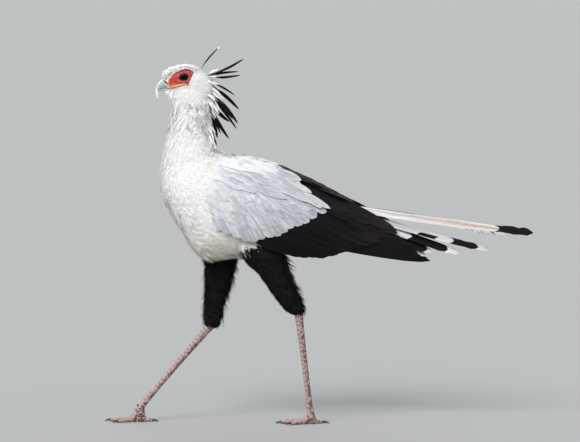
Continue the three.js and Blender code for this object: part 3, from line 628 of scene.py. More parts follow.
skin_material, tree = shader("down_skin")
black, _, _ = tree.attribute("paint")
colour = tree.blend(tree.noise(160.0, 4.0), (0.70, 0.69, 0.68), (0.82, 0.81, 0.79))
black_skin = tree.blend(tree.noise(160.0, 4.0), (0.006, 0.006, 0.006), (0.011, 0.011, 0.012))
colour = tree.blend(black, colour, black_skin)
tree.surface(Base_Color=colour, Roughness=0.95, Specular_IOR_Level=0.05,
             Normal=tree.bump(tree.noise(420.0, 3.0), 0.6, 0.001))
skin.data.materials.append(skin_material)
in_thigh = (skin_points[:, 2] < THIGH_TOP) & (torso_fit(skin_points) > THIGH_FIT)
painted(skin, np.where(in_thigh, 1, in_flank(skin_points)))

# Each row: a height over the floor, then a clump's length, its barbs' half width, half its breadth and how
# proud its tip stands, in millimetres
COAT = [
    [440, 34, 1.6, 3.4, 8.0], [520, 36, 1.7, 3.4, 7.5], [640, 38, 1.8, 3.4, 7.5], [740, 36, 1.7, 3.2, 7.5],
    [830, 30, 1.5, 2.8, 7.5], [900, 25, 1.3, 2.4, 7.0], [935, 19, 1.1, 2.0, 6.0], [960, 13, 0.95, 1.4, 4.5],
    [990, 11, 0.95, 1.2, 4.6], [1030, 14, 1.0, 1.4, 7.0],
]
# How much larger than the clumps the locks between them are
LOCK = {"longer": 1.35, "half": 1.25, "broad": 1.9, "prouder": 1.12}
# Each piece of the coat: millimetres between clumps and between locks, its seed, the barbs in a clump, how
# far clumps stray to a side, and how much longer than the table's they are
COAT_PIECES = {
    "coat_head": {"spacing": 2.05, "locks": 9.0, "seed": 11, "barbs": 4, "stray": 0.18, "longer": 1.0},
    "coat_neck": {"spacing": 3.8, "locks": 8.5, "seed": 12, "barbs": 7, "stray": 0.12, "longer": 1.0},
    "coat_breast": {"spacing": 5.0, "locks": 11.0, "seed": 13, "barbs": 7, "stray": 0.12, "longer": 1.0},
    "coat_belly": {"spacing": 4.3, "locks": 9.5, "seed": 14, "barbs": 7, "stray": 0.2, "longer": 1.1},
    "coat_back": {"spacing": 5.6, "locks": 12.0, "seed": 15, "barbs": 6, "stray": 0.12, "longer": 1.0},
}
# The bare face: an outline in side view, x and z, that the coat leaves free
FACE = [
    [-372, 981.8], [-364, 990], [-354.3, 999.5], [-343, 1006.5], [-330.6, 1010.9], [-316, 1009.5],
    [-303.5, 1004.3], [-306, 997], [-309.2, 992.4], [-312, 985], [-315.2, 978.4], [-316.5, 972],
    [-317.5, 966.5], [-330, 968.5], [-344.9, 963.5], [-362, 961], [-371, 964], [-374, 975],
]


def inside_face(x, z):
    """How far inside the face's outline a place in side view is, in millimetres, below 0 outside."""
    outline = np.array(FACE, float)
    shape = np.shape(x)
    p = np.stack([np.ravel(x), np.ravel(z)], -1)
    a, b = outline, np.roll(outline, -1, axis=0)
    edge = b - a
    t = np.clip(((p[:, None] - a) * edge).sum(-1) / (edge**2).sum(-1), 0, 1)
    distance = np.linalg.norm(p[:, None] - a - edge * t[..., None], axis=-1).min(1)
    above = (a[:, 1] > p[:, None, 1]) != (b[:, 1] > p[:, None, 1])
    crossing = a[:, 0] + (p[:, None, 1] - a[:, 1]) / np.where(edge[:, 1] == 0, 1e-9, edge[:, 1]) * edge[:, 0]
    odd = (above & (p[:, None, 0] < crossing)).sum(1) % 2
    return (np.where(odd, 1, -1) * distance).reshape(shape)


face_gap = inside_face(face_middle[:, 0], face_middle[:, 2])
bare = (face_gap > -0.6) & (face_middle[:, 2] > 950) & (face_middle[:, 0] < -300)


def coat_piece(name, keep, grey, warm_shade, unwrap, ruffle=None):
    """One piece of the white coat: close clumps over the faces that keep is true for, and longer locks
    between them. ruffle gives extra length, rise and hang at its places, in millimetres."""
    plan = COAT_PIECES[name]
    rng = np.random.default_rng(plan["seed"])
    roots, normals = scatter(keep & ~bare, plan["spacing"], rng)
    lock_roots, lock_normals = scatter(keep & ~bare, plan["locks"], rng)
    is_lock = np.repeat([0.0, 1.0], [len(roots), len(lock_roots)])
    roots, normals = np.concatenate([roots, lock_roots]), np.concatenate([normals, lock_normals])
    length, half, broad, proud = read(COAT, roots[:, 2]).T[1:]
    near_face = smooth((inside_face(roots[:, 0], roots[:, 2]) + 14) / 12) * ease(roots[:, 2], 945, 955)
    length = length * plan["longer"] * mix(1, LOCK["longer"], is_lock) * mix(1, 0.45, near_face)
    proud = proud * mix(1, LOCK["prouder"], is_lock) * mix(1, 0.55, near_face)
    more = np.zeros((3, len(roots))) if ruffle is None else ruffle(roots, normals, rng)
    size = {"length": length + more[0], "half": half * mix(1, LOCK["half"], is_lock),
            "broad": broad * mix(1, LOCK["broad"], is_lock), "proud": proud + more[1], "hang": more[2]}
    tone = np.stack([grey(roots), warm_shade(roots), rng.random(len(roots))], -1)
    home = unwrap(roots)
    piece = grow_coat(name, roots, normals, size, tone, home, rng, white_down, plan["barbs"], plan["stray"])
    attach(piece, "root")


def unwrap_head(p):
    return turn_and_share(p, 0, p[:, 0] + 318, p[:, 2], (900, 1030))


def unwrap_neck(p):
    return turn_and_share(p, 0, p[:, 0] - read(NECK_BY_HEIGHT, p[:, 2])[:, 1], p[:, 2], (640, 960))


def unwrap_torso(p):
    return turn_and_share(p, 0, p[:, 2] - read(TORSO, p[:, 0])[:, 1], p[:, 0], (-400, 170))


NECK_BY_HEIGHT = [[row[2], row[0]] for row in NECK]


def no_warm_shade(p):
    return np.zeros(len(p))


def head_grey(p):
    """A grey wash over the brow and down the nape."""
    rise = inside_face(p[:, 0], p[:, 2])
    brow = smooth(1 - np.abs(rise + 5) / 6) * ease(p[:, 2], 985, 997)
    nape = ease(p[:, 0], -290, -260)
    wash = 0.22 * brow + 0.14 * nape * streaks(p, (30, 12, 40), 3)
    return np.clip(wash + 0.04 * streaks(p, (14, 10, 14), 4), 0, 1)


def neck_grey(p):
    """Faint grey flecks on the upper neck's side, and a light grey wash down the nape."""
    behind = p[:, 0] - read(NECK_BY_HEIGHT, p[:, 2])[:, 1]
    flecks = ease(streaks(p, (4, 6, 34), 5), 0.5, 0.65) * ease(p[:, 2], 825, 855) * ease(p[:, 2], 945, 915)
    wash = ease(behind, 5, 50) * ease(p[:, 2], 700, 760)
    return np.clip(0.8 * flecks * ease(behind, -30, -5) + 0.14 * wash + 0.03, 0, 1)


def breast_grey(p):
    return 0.05 * streaks(p, (25, 25, 60), 6) + neck_grey(p) * ease(p[:, 2], 690, 750)


def flank_edge(p):
    """1 where the white coat meets the black flank, falling to 0 in front of it."""
    return smooth(behind_flank_line(p) / 70 + 1)


def belly_grey(p):
    """Thin dark streaks where the belly's fringe meets the black flank."""
    dark = 0.95 * flank_edge(p) + 0.45 * ease(p[:, 2], 525, 485)
    thin = smooth((streaks(p, (5, 5, 34), 16) - 0.4) / 0.15)
    return 0.06 * streaks(p, (25, 25, 60), 6) + np.minimum(dark, 1) * thin


# A creamy tint, low on the belly and uneven in streaks: painted warm shade, the floor's light thrown up under
# the belly
def belly_warm_shade(p):
    return ease(p[:, 2], 590, 500) * mix(0.2, 0.9, streaks(p, (12, 12, 40), 7)) * (1 - 0.7 * flank_edge(p))


def brow_ruffle(p, n, rng):
    """The coat is a little longer over the brow and at the chin."""
    front = ease(p[:, 0], -345, -359) * ease(p[:, 2], 992, 1000)
    chin = ease(p[:, 2], 951, 946) * ease(p[:, 0], -344, -356)
    some = rng.uniform(0.3, 1.0, len(p))
    return np.stack([4 * front + 11 * chin, (1.5 * front + 6 * chin) * some, 5 * chin])


def throat_ruffle(p, n, rng):
    """Pointed hackles stand out from the throat."""
    front = ease(-n[:, 0], 0.25, 0.65) * ease(p[:, 2], 835, 875)
    some = rng.random(len(p)) ** 6
    return np.stack([14 * front * some, 9 * front * some, 0 * some])


def breast_ruffle(p, n, rng):
    """A few tips stand out where the breast turns under."""
    front = ease(-n[:, 0], 0.35, 0.75) * ease(p[:, 2], 590, 620) * ease(p[:, 2], 700, 670)
    some = rng.random(len(p)) ** 4
    return np.stack([18 * front * some, 6 * front * some, 8 * front * some])


def belly_ruffle(p, n, rng):
    """The belly is full in front, and its lower edge hangs in soft pointed tips over the legs."""
    low = ease(p[:, 2], 520, 494)
    fore = low * ease(p[:, 0], -272, -292)
    front = smooth((-n[:, 0] - 0.3) / 0.4) * ease(p[:, 2], 475, 495) * ease(p[:, 2], 560, 530)
    some = rng.uniform(0.2, 1.0, len(p))
    tip = rng.random(len(p)) ** 3
    edge = flank_edge(p)
    longer = low * (16 * tip - 9) + 6 * fore * some - 17 * edge
    prouder = 5 * front * some - 3 * low * some + 3 * fore * some - 1.5 * edge
    return np.stack([longer, prouder, low * (11 * tip - 2) + 2 * fore * some])


# The roots of the white coat end a little ahead of the black flank, in an uneven edge, in millimetres
EDGE_AHEAD = 3
EDGE_UNEVEN = 10
BREAST_REAR = -205
BELLY_TOP = 560
edge_place = face_middle + [EDGE_AHEAD, 0, 0] + EDGE_UNEVEN * (face_place - face_middle) / FACE_UNEVEN
white_trunk = on_torso & (in_flank(edge_place) < 0.5)
upper_trunk = white_trunk & (face_place[:, 2] >= BELLY_TOP)
on_breast = face_place[:, 0] < BREAST_REAR
coat_piece("coat_head", on_head, head_grey, no_warm_shade, unwrap_head, brow_ruffle)
coat_piece("coat_neck", on_neck, neck_grey, no_warm_shade, unwrap_neck, throat_ruffle)
coat_piece("coat_breast", upper_trunk & on_breast, breast_grey, no_warm_shade, unwrap_torso, breast_ruffle)
coat_piece("coat_belly", white_trunk & ~upper_trunk, belly_grey, belly_warm_shade, unwrap_torso, belly_ruffle)
coat_piece("coat_back", upper_trunk & ~on_breast, breast_grey, no_warm_shade, unwrap_torso)


# Trousers. Black feathers cover the lower flanks and both thighs down to the ankle, ragged at the rear, over
# a black under coat.
black_down = down_material(
    "black_down", root=(0.003, 0.003, 0.0035), tip=(0.0065, 0.0065, 0.0075), shade=(0.013, 0.011, 0.010),
    warm_shade=(1.0, 1.0, 1.0), roughness=0.75, sheen=0.0, gloss=0.08,
)
black_trunk = on_torso & (in_flank(face_middle) > 0.3)
# The feathers' measures in millimetres, each pair from the ankle to the thigh, and what loose ones add
TROUSERS = {
    "spacing": 4.0, "half": 1.6, "length": (13, 32), "broad": (2.0, 3.4), "proud": (3.0, 7.5), "barbs": 6,
    "stray": 0.16, "rough": 0.3, "loose_length": 20, "loose_proud": 15, "top": 560,
}
# How much prouder the feathers stand over the thigh's front, in millimetres
FULL_FRONT = {"left": 0, "right": 7}
for name, rows in THIGH.items():
    side = SIDES[name]
    rng = np.random.default_rng(30 + side)
    here = (on_thigh | black_trunk) & (np.sign(face_middle[:, 1]) == side)
    roots, normals = scatter(here, TROUSERS["spacing"], rng)
    by_height = np.array([[row[2], row[0], row[1]] for row in rows])[::-1]
    _, middle_x, middle_y = read(by_height, roots[:, 2]).T
    rear = smooth((roots[:, 0] - middle_x - 4) / 22)
    ankle = smooth((roots[:, 2] - by_height[0, 0]) / 45)
    full = FULL_FRONT[name] * smooth((middle_x - 4 - roots[:, 0]) / 20) * ankle
    loose = rng.random(len(roots)) ** 2 * rear * ankle
    size = {key: mix(*TROUSERS[key], ankle) for key in ("length", "broad", "proud")}
    size["length"] = size["length"] + TROUSERS["loose_length"] * loose
    size["proud"] = size["proud"] + TROUSERS["loose_proud"] * loose + full
    size["half"] = np.full(len(roots), TROUSERS["half"])
    size["hang"] = 0 * rear
    tone = np.stack([streaks(roots, (20, 20, 40), 8) * 0.7, no_warm_shade(roots), rng.random(len(roots))], -1)
    ends = (by_height[0, 0], TROUSERS["top"])
    home = turn_and_share(roots, middle_y, roots[:, 0] - middle_x, roots[:, 2], ends)
    trousers = grow_coat("trousers_" + name, roots, normals, size, tone, home, rng, black_down,
                         TROUSERS["barbs"], TROUSERS["stray"], TROUSERS["rough"])
    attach(trousers, "root")


# Folded wings. Each wing is one arm under rows of overlapping vanes: ten primaries innermost, secondaries
# over them, then great, middle and small coverts, and scapulars outermost over the back. Every vane is
# laid over the wing's outer surface, and its lower edge lies over the next one's upper edge.
WING = [
    [-276, 666, 20, 86, 1.32], [-265, 666, 66, 97, 1.32], [-242, 656, 95, 107, 1.32],
    [-214, 652, 111, 114, 1.32], [-171, 645, 122, 120, 1.32], [-128, 639, 128, 122, 1.32],
    [-86, 630, 127, 121, 1.32], [-43, 616, 121, 117, 1.32], [0, 602, 114, 111, 1.33],
    [57, 586, 103, 99, 1.36], [114, 569, 88, 84, 1.5], [171, 552, 74, 70, 1.75], [228, 533, 58, 61, 1.9],
    [285, 515, 43, 55, 1.9], [370, 481, 23, 47, 1.9],
]
ARM = [
    [-276, 646, 686, 12], [-265, 606, 730, 22], [-242, 585, 748, 32], [-214, 566, 761, 34],
    [-171, 549, 764, 34], [-128, 547, 764, 30], [-86, 557, 754, 24], [-43, 577, 734, 16], [-5, 592, 714, 9],
    [20, 610, 699, 5],
]

WING_TOP = 0.965


def wing_reach(x, z):
    """How far the folded wing's outer surface stands from the middle plane."""
    _, middle, high, wide, opening = np.moveaxis(read(WING, x), -1, 0)
    rise = (z - middle + 0.3 * high) / (opening * high)
    return wide * np.sqrt(np.maximum(0.03, 1 - rise**2))


def on_wing(side, x, z, lift):
    """Points over the wing at places in side view, lifted along the surface's normal. What reaches past the
    wing's top folds over towards the middle plane."""
    _, middle, high, _, opening = np.moveaxis(read(WING, x), -1, 0)
    over = np.maximum(0, z - middle - (WING_TOP * opening - 0.3) * high)
    z = z - over
    slope_x = (wing_reach(x + 1, z) - wing_reach(x - 1, z)) / 2
    slope_z = (wing_reach(x, z + 1) - wing_reach(x, z - 1)) / 2
    normal = unit(np.stack([-slope_x, 1 + 0 * slope_x, -slope_z], -1))
    p = np.stack([x, wing_reach(x, z) - over, z], -1) + normal * lift[..., None]
    p[..., 1] *= side
    return p


def spread(values, share):
    """Values or points set evenly along a row, read at shares of it."""
    values = np.asarray(values, float)
    knots = np.linspace(0, 1, len(values))
    if values.ndim == 1:
        return np.interp(share, knots, values)
    return np.stack([np.interp(share, knots, v) for v in values.T], -1)


def vane_outline(t, full, tip_from, quill=0.25):
    """A vane's width along its length: a narrow root, full width, and a rounded tip."""
    closing = np.clip((t - tip_from) / (1 - tip_from), 0, 1)
    return mix(quill, 1, smooth(t / full)) * np.sqrt(np.maximum(0.004, 1 - closing**2))


VANE_COLUMNS = np.array([-1, -0.8, -0.45, -0.1, 0, 0.1, 0.45, 0.8, 1])
RAMP = 0.3


def vane_marks(grid, t, rng):
    """Each place's share across and along its vane, and one chance for the whole vane."""
    feather = np.empty(grid.shape)
    feather[..., 0] = VANE_COLUMNS
    feather[..., 1] = t[None, :, None]
    feather[..., 2] = rng.random(len(grid))[:, None, None]
    return feather


def plain_vanes(grid, t, rng, tone=(0, 0, 0)):
    """A grid of vanes with its marks, and one tone for all of them."""
    return grid, vane_marks(grid, t, rng), np.broadcast_to(np.asarray(tone, float), grid.shape)


def vane_row(side, row, rng):
    """The grids of one row of vanes, with its marks and tones."""
    row = {**PLAIN_ROW, **row}
    count, steps = row["count"], row["steps"]
    share = np.linspace(0, 1, count)
    tips = spread(row["tips"], share) + rng.normal(0, row["uneven"], (count, 2))
    if "roots" in row:
        roots = spread(row["roots"], share)
    else:
        angle = np.radians(spread(row["angles"], share) + rng.normal(0, 2.0, count))
        roots = tips + spread(row["length"], share)[:, None] * np.stack([-np.cos(angle), np.sin(angle)], -1)
    way = tips - roots
    span = np.linalg.norm(way, axis=1, keepdims=True)
    up = np.stack([-way[:, 1], way[:, 0]], -1) / span
    half = spread(row["half"], share) * rng.uniform(0.93, 1.07, count)
    lift = spread(row["lift"], share)
    bow = spread(row["bow"], share)
    t = np.linspace(0, 1, steps + 1)
    middle = roots[:, None] + way[:, None] * t[None, :, None]
    middle = middle + up[:, None] * (bow[:, None] * 4 * t * (1 - t))[..., None]
    wave = 1 + 0.03 * np.sin(t * rng.uniform(8, 16, (count, 1)) + rng.uniform(0, 6, (count, 1)))
    width = half[:, None] * vane_outline(t, row["full"], row["tip_from"]) * wave
    u = VANE_COLUMNS
    # Where barbs have parted, a notch cuts into an edge
    notch = np.where(rng.random((count, steps + 1, 2)) < row["notches"], rng.uniform(0.03, 0.16), 0)
    reach = width[..., None] * u * np.where(np.abs(u) > 0.9, 1 - notch[..., (u > 0).astype(int)], 1)
    x = middle[..., 0:1] + up[:, None, 0:1] * reach
    z = middle[..., 1:2] + up[:, None, 1:2] * reach
    # Barbs near the tip trail behind the shaft
    trail = row["trail"] * width[..., None] * np.abs(u) ** 2
    x = x - (way[:, None, 0:1] / span[:, None]) * trail
    z = z - (way[:, None, 1:2] / span[:, None]) * trail
    level = mix(lift[:, None] - row["rise"], lift[:, None], smooth(t / RAMP))[..., None]
    level = level - row["tilt"] * reach + 0.07 * width[..., None] * (1 - u**2)
    level = level + row["shaft"] * (np.abs(u) < 0.05)
    grid = on_wing(side, x, z, level)
    feather = vane_marks(grid, t, rng)
    tone = np.zeros(grid.shape)
    tone[..., 0] = spread(row["grey"], share)[:, None, None]
    tone[..., 1] = (spread(row["brown"], share) * rng.uniform(0.3, 1.4, count))[:, None, None]
    return grid, feather, tone


def strip_unwrap(grids):
    """Each vane of a piece has a strip of its own on the piece's map."""
    total = sum(g.shape[0] for g in grids)
    across = int(np.ceil(np.sqrt(total * 3)))
    down = int(np.ceil(total / across))
    maps, done = [], 0
    for grid in grids:
        index = done + np.arange(grid.shape[0])
        done += grid.shape[0]
        u = (np.linspace(0.08, 0.92, grid.shape[2]) + (index % across)[:, None]) / across
        v = (np.linspace(0.04, 0.96, grid.shape[1]) + (index // across)[:, None]) / down
        both = np.empty(grid.shape[:3] + (2,))
        both[..., 0] = u[:, None, :]
        both[..., 1] = v[:, :, None]
        maps.append(both)
    return maps


def vane_piece(name, made, material, replaced=None):
    """One piece from the grids of several rows."""
    maps = strip_unwrap([grid for grid, _, _ in made])
    faces, first = [], 0
    for grid, _, _ in made:
        faces.append(sheet_faces(*grid.shape[:3], first))
        first += grid[..., 0].size
    points, feather, tone = (np.concatenate([part[i].reshape(-1, 3) for part in made]) for i in range(3))
    bake = np.concatenate([its_map.reshape(-1, 2) for its_map in maps])
    piece = sheet_mesh(name, points, np.concatenate(faces), feather, tone, bake, material)
    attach(piece, "root")
    if replaced:
        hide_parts(replaced)


# Lists run from the row's front vane to its rear one, with places in side view and sizes in millimetres. A
# vane is full width from "full" of its length on, and narrows from "tip_from". A row that leaves a value out
# has the one here.
PLAIN_ROW = {
    "full": 0.25, "tilt": 0.05, "shaft": 0.2, "trail": 0.1, "uneven": 1.5, "notches": 0.1, "grey": [0.5],
    "brown": [0.0],
}
FLIGHT_ROWS = [
    {   # primaries
        "count": 10, "roots": [[-112, 564], [-64, 584]], "tips": [[371, 461], [359, 470], [342, 488],
        [324, 506], [302, 527]], "half": [13, 17], "lift": [-14.4, -9.2], "rise": 0, "bow": [-6, 4],
        "tilt": 0.01, "steps": 24, "full": 0.3, "tip_from": 0.84, "shaft": 0.7, "trail": 0.3,
    },
    {   # secondaries
        "count": 13, "roots": [[-150, 556], [-120, 600], [-46, 707]], "tips": [[-8, 497], [48, 483],
        [104, 487], [160, 503], [215, 520], [280, 550]], "half": [17, 16], "lift": [-6.3], "rise": 6,
        "bow": [-8, -10, 2, 9], "tilt": 0.09, "steps": 22, "full": 0.3, "tip_from": 0.88, "shaft": 0.7,
        "brown": [0.05, 0.1, 0.7], "trail": 0.2,
    },
    {   # tertials
        "count": 6, "roots": [[-70, 690], [-60, 722]], "tips": [[150, 590], [212, 572], [262, 562],
        [218, 582], [160, 612], [96, 650]], "half": [14, 12], "lift": [-3.6, -2.4], "rise": 6,
        "bow": [4, 6], "tilt": 0.07, "steps": 18, "full": 0.3, "tip_from": 0.82, "shaft": 0.6,
        "brown": [0.3, 0.8, 0.6, 0.1], "uneven": 3, "trail": 0.2,
    },
]
COVERT_ROWS = [
    {   # great coverts
        "count": 16, "angles": [48, 52, 58, 60, 55, 45, 36, 30], "length": [50, 66, 84, 92, 96, 96, 92],
        "tips": [[-262, 592], [-240, 574], [-214, 557], [-186, 544], [-152, 526], [-126, 523], [-100, 536],
        [-78, 534], [-52, 546], [-28, 560], [-6, 570], [20, 580], [50, 598], [78, 605]],
        "half": [16, 20, 19, 16], "lift": [-3.0], "rise": 6, "bow": [3], "tilt": 0.07, "steps": 18,
        "uneven": 2.5, "tip_from": 0.8, "shaft": 0.3, "grey": [0.15, 0.7, 0.9, 0.9],
        "brown": [0.2, 0.5, 0.4, 0.7],
    },
    {   # middle coverts
        "count": 17, "angles": [50, 55, 60, 56, 44, 34, 30], "length": [44, 56, 66, 70, 76, 80],
        "tips": [[-264, 616], [-236, 603], [-198, 584], [-156, 566], [-116, 564], [-76, 572], [-34, 590],
        [8, 610], [48, 624]], "half": [14, 18, 18, 15], "lift": [-1.2], "rise": 5, "bow": [3], "tilt": 0.06,
        "steps": 16, "uneven": 3.5, "tip_from": 0.7, "shaft": 0.3, "grey": [0.1, 0.55, 0.8, 0.8],
        "brown": [0.4, 1.1, 0.7, 0.6],
    },
    {   # small coverts, three rows
        "count": 18, "angles": [50, 54, 56, 48, 38, 32], "length": [38, 46, 54, 60, 66],
        "tips": [[-266, 642], [-236, 630], [-196, 612], [-154, 600], [-112, 602], [-70, 612], [-28, 626],
        [12, 642]], "half": [14, 17, 17, 15], "lift": [0.2], "rise": 4, "bow": [2], "steps": 14,
        "uneven": 3.5, "tip_from": 0.68, "shaft": 0.25, "grey": [0.05, 0.5, 0.7, 0.7],
        "brown": [0.3, 0.8, 1.0, 0.5],
    },
    {
        "count": 17, "angles": [48, 50, 50, 42, 34, 30], "length": [46, 52, 58, 64, 68],
        "tips": [[-267, 668], [-238, 657], [-198, 641], [-156, 632], [-112, 636], [-70, 642], [-34, 652]],
        "half": [13, 16, 16, 14], "lift": [1.2], "rise": 4, "bow": [2], "steps": 14, "uneven": 4,
        "tip_from": 0.68, "grey": [0.0, 0.4, 0.6, 0.6], "brown": [0.1, 0.5, 0.7, 0.4],
    },
    {
        "count": 16, "angles": [44, 44, 42, 36, 30], "length": [44, 50, 56, 60], "tips": [[-262, 694],
        [-236, 684], [-200, 670], [-158, 662], [-116, 664], [-80, 664]], "half": [13, 15, 15, 13],
        "lift": [2.0], "rise": 4, "bow": [2], "tilt": 0.04, "steps": 14, "uneven": 4, "tip_from": 0.68,
        "grey": [0.1, 0.4, 0.55, 0.5], "brown": [0.0, 0.2, 0.6, 0.2],
    },
]
SCAPULAR_ROWS = [
    {   # the hem that ends in a dark fold over the coverts
        "count": 19, "angles": [36, 32, 26, 24, 26, 24, 26], "length": [44, 58, 76, 92, 112, 134, 150],
        "tips": [[-240, 704], [-208, 690], [-162, 676], [-112, 674], [-62, 655], [-14, 648], [34, 640],
        [62, 622], [84, 604]], "half": [12, 14, 14, 11, 8], "lift": [4.6], "rise": 7, "bow": [2, 5],
        "tilt": 0.06, "steps": 18, "tip_from": 0.52, "shaft": 0.25, "grey": [0.35, 0.75, 0.85, 0.8, 0.7],
        "brown": [0.0, 0.3, 0.5, 0.4, 1.4], "uneven": 5, "notches": 0.2,
    },
    {
        "count": 17, "angles": [32, 28, 24, 22, 22], "length": [44, 58, 74, 90, 108], "tips": [[-232, 726],
        [-194, 712], [-150, 702], [-104, 694], [-58, 680], [-16, 668], [24, 656]],
        "half": [12, 14, 13, 8.5], "lift": [5.4], "rise": 6, "bow": [2, 4], "steps": 16, "tip_from": 0.5,
        "grey": [0.3, 0.65, 0.75, 0.7], "brown": [0.0, 0.5, 0.6, 0.9], "uneven": 6, "notches": 0.2,
    },
    {
        "count": 16, "angles": [28, 24, 22, 20, 22], "length": [44, 58, 72, 86, 100], "tips": [[-222, 742],
        [-180, 732], [-134, 722], [-88, 714], [-44, 702], [-2, 686]], "half": [12, 13, 12, 8],
        "lift": [6.0], "rise": 6, "bow": [2, 4], "steps": 16, "tip_from": 0.48,
        "grey": [0.15, 0.45, 0.6, 0.6], "brown": [0.0, 0.1, 0.3, 1.2], "uneven": 6, "notches": 0.2,
    },
    {   # the white ruffled fringe along the back
        "count": 15, "angles": [24, 16, 14, 14], "length": [44, 62, 78, 88], "tips": [[-204, 741],
        [-150, 730], [-98, 722], [-58, 717]], "half": [11, 13, 12, 9], "lift": [6.4], "rise": 6,
        "bow": [2, 5], "tilt": 0.2, "steps": 16, "tip_from": 0.5, "grey": [0.2, 0.15, 0.2, 0.1],
        "uneven": 4, "notches": 0.2,
    },
]

# Streaks along a vane, each vane with streaks of its own: they run with the shaft and fade in and out.
streak_group, tree, given, result = node_group(
    "vane_streaks",
    {"Across": ("value", 0.0), "Along": ("value", 0.0), "Chance": ("value", 0.0), "Fine": ("value", 2.2),
     "Long": ("value", 1.4)},
    {"Streaks": "value"},
)
place = tree.add("ShaderNodeCombineXYZ", i0=tree.math("MULTIPLY", given["Across"], given["Fine"]),
                 i1=tree.math("MULTIPLY", given["Along"], given["Long"]),
                 i2=tree.math("MULTIPLY", given["Chance"], 61.0))
tree.put(result["Streaks"], tree.ramp(tree.noise(1.0, 3.0, where=place), 0.34, 0.66))

flight_black, tree = shader("flight_black")
across, along, chance = tree.attribute("feather")
_, brown, _ = tree.attribute("tone")
marks = tree.group(barb_group, Across=across, Along=along, Rows=90.0, Slant=0.12)
faded = tree.group(streak_group, Across=across, Along=along, Chance=chance)["Streaks"]
edge = tree.ramp(tree.math("ABSOLUTE", across), 0.72, 1.0)
worn = tree.math("MULTIPLY", brown, tree.math("MAXIMUM", edge, tree.ramp(along, 0.7, 1.0)))
worn = tree.math("MULTIPLY", worn, faded)
colour = tree.blend(tree.math("MULTIPLY", chance, 0.6), (0.0035, 0.0035, 0.0045), (0.0085, 0.008, 0.0095))
colour = tree.blend(worn, colour, (0.040, 0.028, 0.023))
# The vanes' edges are a little lighter: a painted sheen
colour = tree.blend(tree.math("MULTIPLY", edge, 0.3), colour, (0.024, 0.021, 0.021))
raised = tree.math("ADD", marks["Ridges"], tree.math("MULTIPLY", marks["Shaft"], 2.0))
tree.surface(Base_Color=colour, Roughness=0.55, Specular_IOR_Level=0.09,
             Normal=tree.bump(raised, 0.5, 0.0005))

covert_grey, tree = shader("covert_grey")
across, along, chance = tree.attribute("feather")
grey, brown, _ = tree.attribute("tone")
marks = tree.group(barb_group, Across=across, Along=along, Rows=34.0, Slant=0.3)
streaked = tree.group(streak_group, Across=across, Along=along, Chance=chance, Fine=2.6)["Streaks"]
off_shaft = tree.math("ABSOLUTE", across)
patchy = tree.noise(17.0, 1.0)
depth = tree.math("ADD", grey, tree.math("MULTIPLY_ADD", chance, 0.36, -0.18))
depth = tree.math("ADD", depth, tree.math("MULTIPLY_ADD", streaked, 0.44, -0.22))
colour = tree.blend(tree.ramp(depth, 0.0, 1.25), (0.74, 0.75, 0.775), (0.36, 0.38, 0.43))
smudge = tree.math("MULTIPLY", brown, tree.ramp(patchy, 0.42, 0.68))
smudge = tree.math("MULTIPLY", smudge, tree.ramp(along, 0.2, 0.8))
smudge = tree.math("MULTIPLY", smudge, tree.math("MULTIPLY_ADD", streaked, 0.6, 0.3))
colour = tree.blend(tree.math("MINIMUM", smudge, 0.62), colour, (0.30, 0.265, 0.25))
fringe = tree.math("MAXIMUM", tree.ramp(off_shaft, 0.62, 1.0), tree.ramp(along, 0.84, 1.0))
colour = tree.blend(tree.math("MULTIPLY", fringe, 0.30), colour, (0.80, 0.805, 0.83))
streak = tree.math("MULTIPLY", tree.math("SUBTRACT", 1.0, marks["Ridges"]), 0.12)
colour = tree.blend(streak, colour, (0.24, 0.24, 0.28))
colour = tree.blend(tree.math("MULTIPLY", marks["Shaft"], 0.22), colour, (0.26, 0.235, 0.225))
raised = tree.math("ADD", marks["Ridges"], tree.math("MULTIPLY", marks["Shaft"], 2.0))
tree.surface(Base_Color=colour, Roughness=0.8, Sheen_Weight=0.1, Specular_IOR_Level=0.2,
             Normal=tree.bump(raised, 0.5, 0.0005))

for name, side in SIDES.items():
    rng = np.random.default_rng(50 + side)
    x = np.linspace(ARM[0][0], ARM[-1][0], 34)
    _, low_z, high_z, deep = read(ARM, x).T
    share = np.linspace(0, 1, 15)
    z = mix(low_z[:, None], high_z[:, None], share)
    edge = np.sin(np.pi * share)
    outer = on_wing(side, x[:, None] + 0 * z, z, -9.5 - 2 * (1 - edge) + 0 * z)
    inner = on_wing(side, x[:, None] + 0 * z, z, -10.5 - deep[:, None] * mix(0.1, 1, edge))
    arm_points, arm_faces = capped(np.concatenate([outer, inner[:, ::-1]], 1))
    arm = mesh_object(f"wing_{name}_arm", arm_points, arm_faces, skin_material)
    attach(arm, "root")
    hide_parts("wing_" + name)
    flight = [vane_row(side, row, rng) for row in FLIGHT_ROWS]
    coverts = [vane_row(side, row, rng) for row in COVERT_ROWS]
    scapulars = [vane_row(side, row, rng) for row in SCAPULAR_ROWS]
    vane_piece(f"wing_{name}_flight", flight, flight_black, "wing_" + name)
    vane_piece(f"wing_{name}_coverts", coverts, covert_grey, "wing_" + name)
    vane_piece(f"wing_{name}_scapulars", scapulars, covert_grey, "wing_" + name)


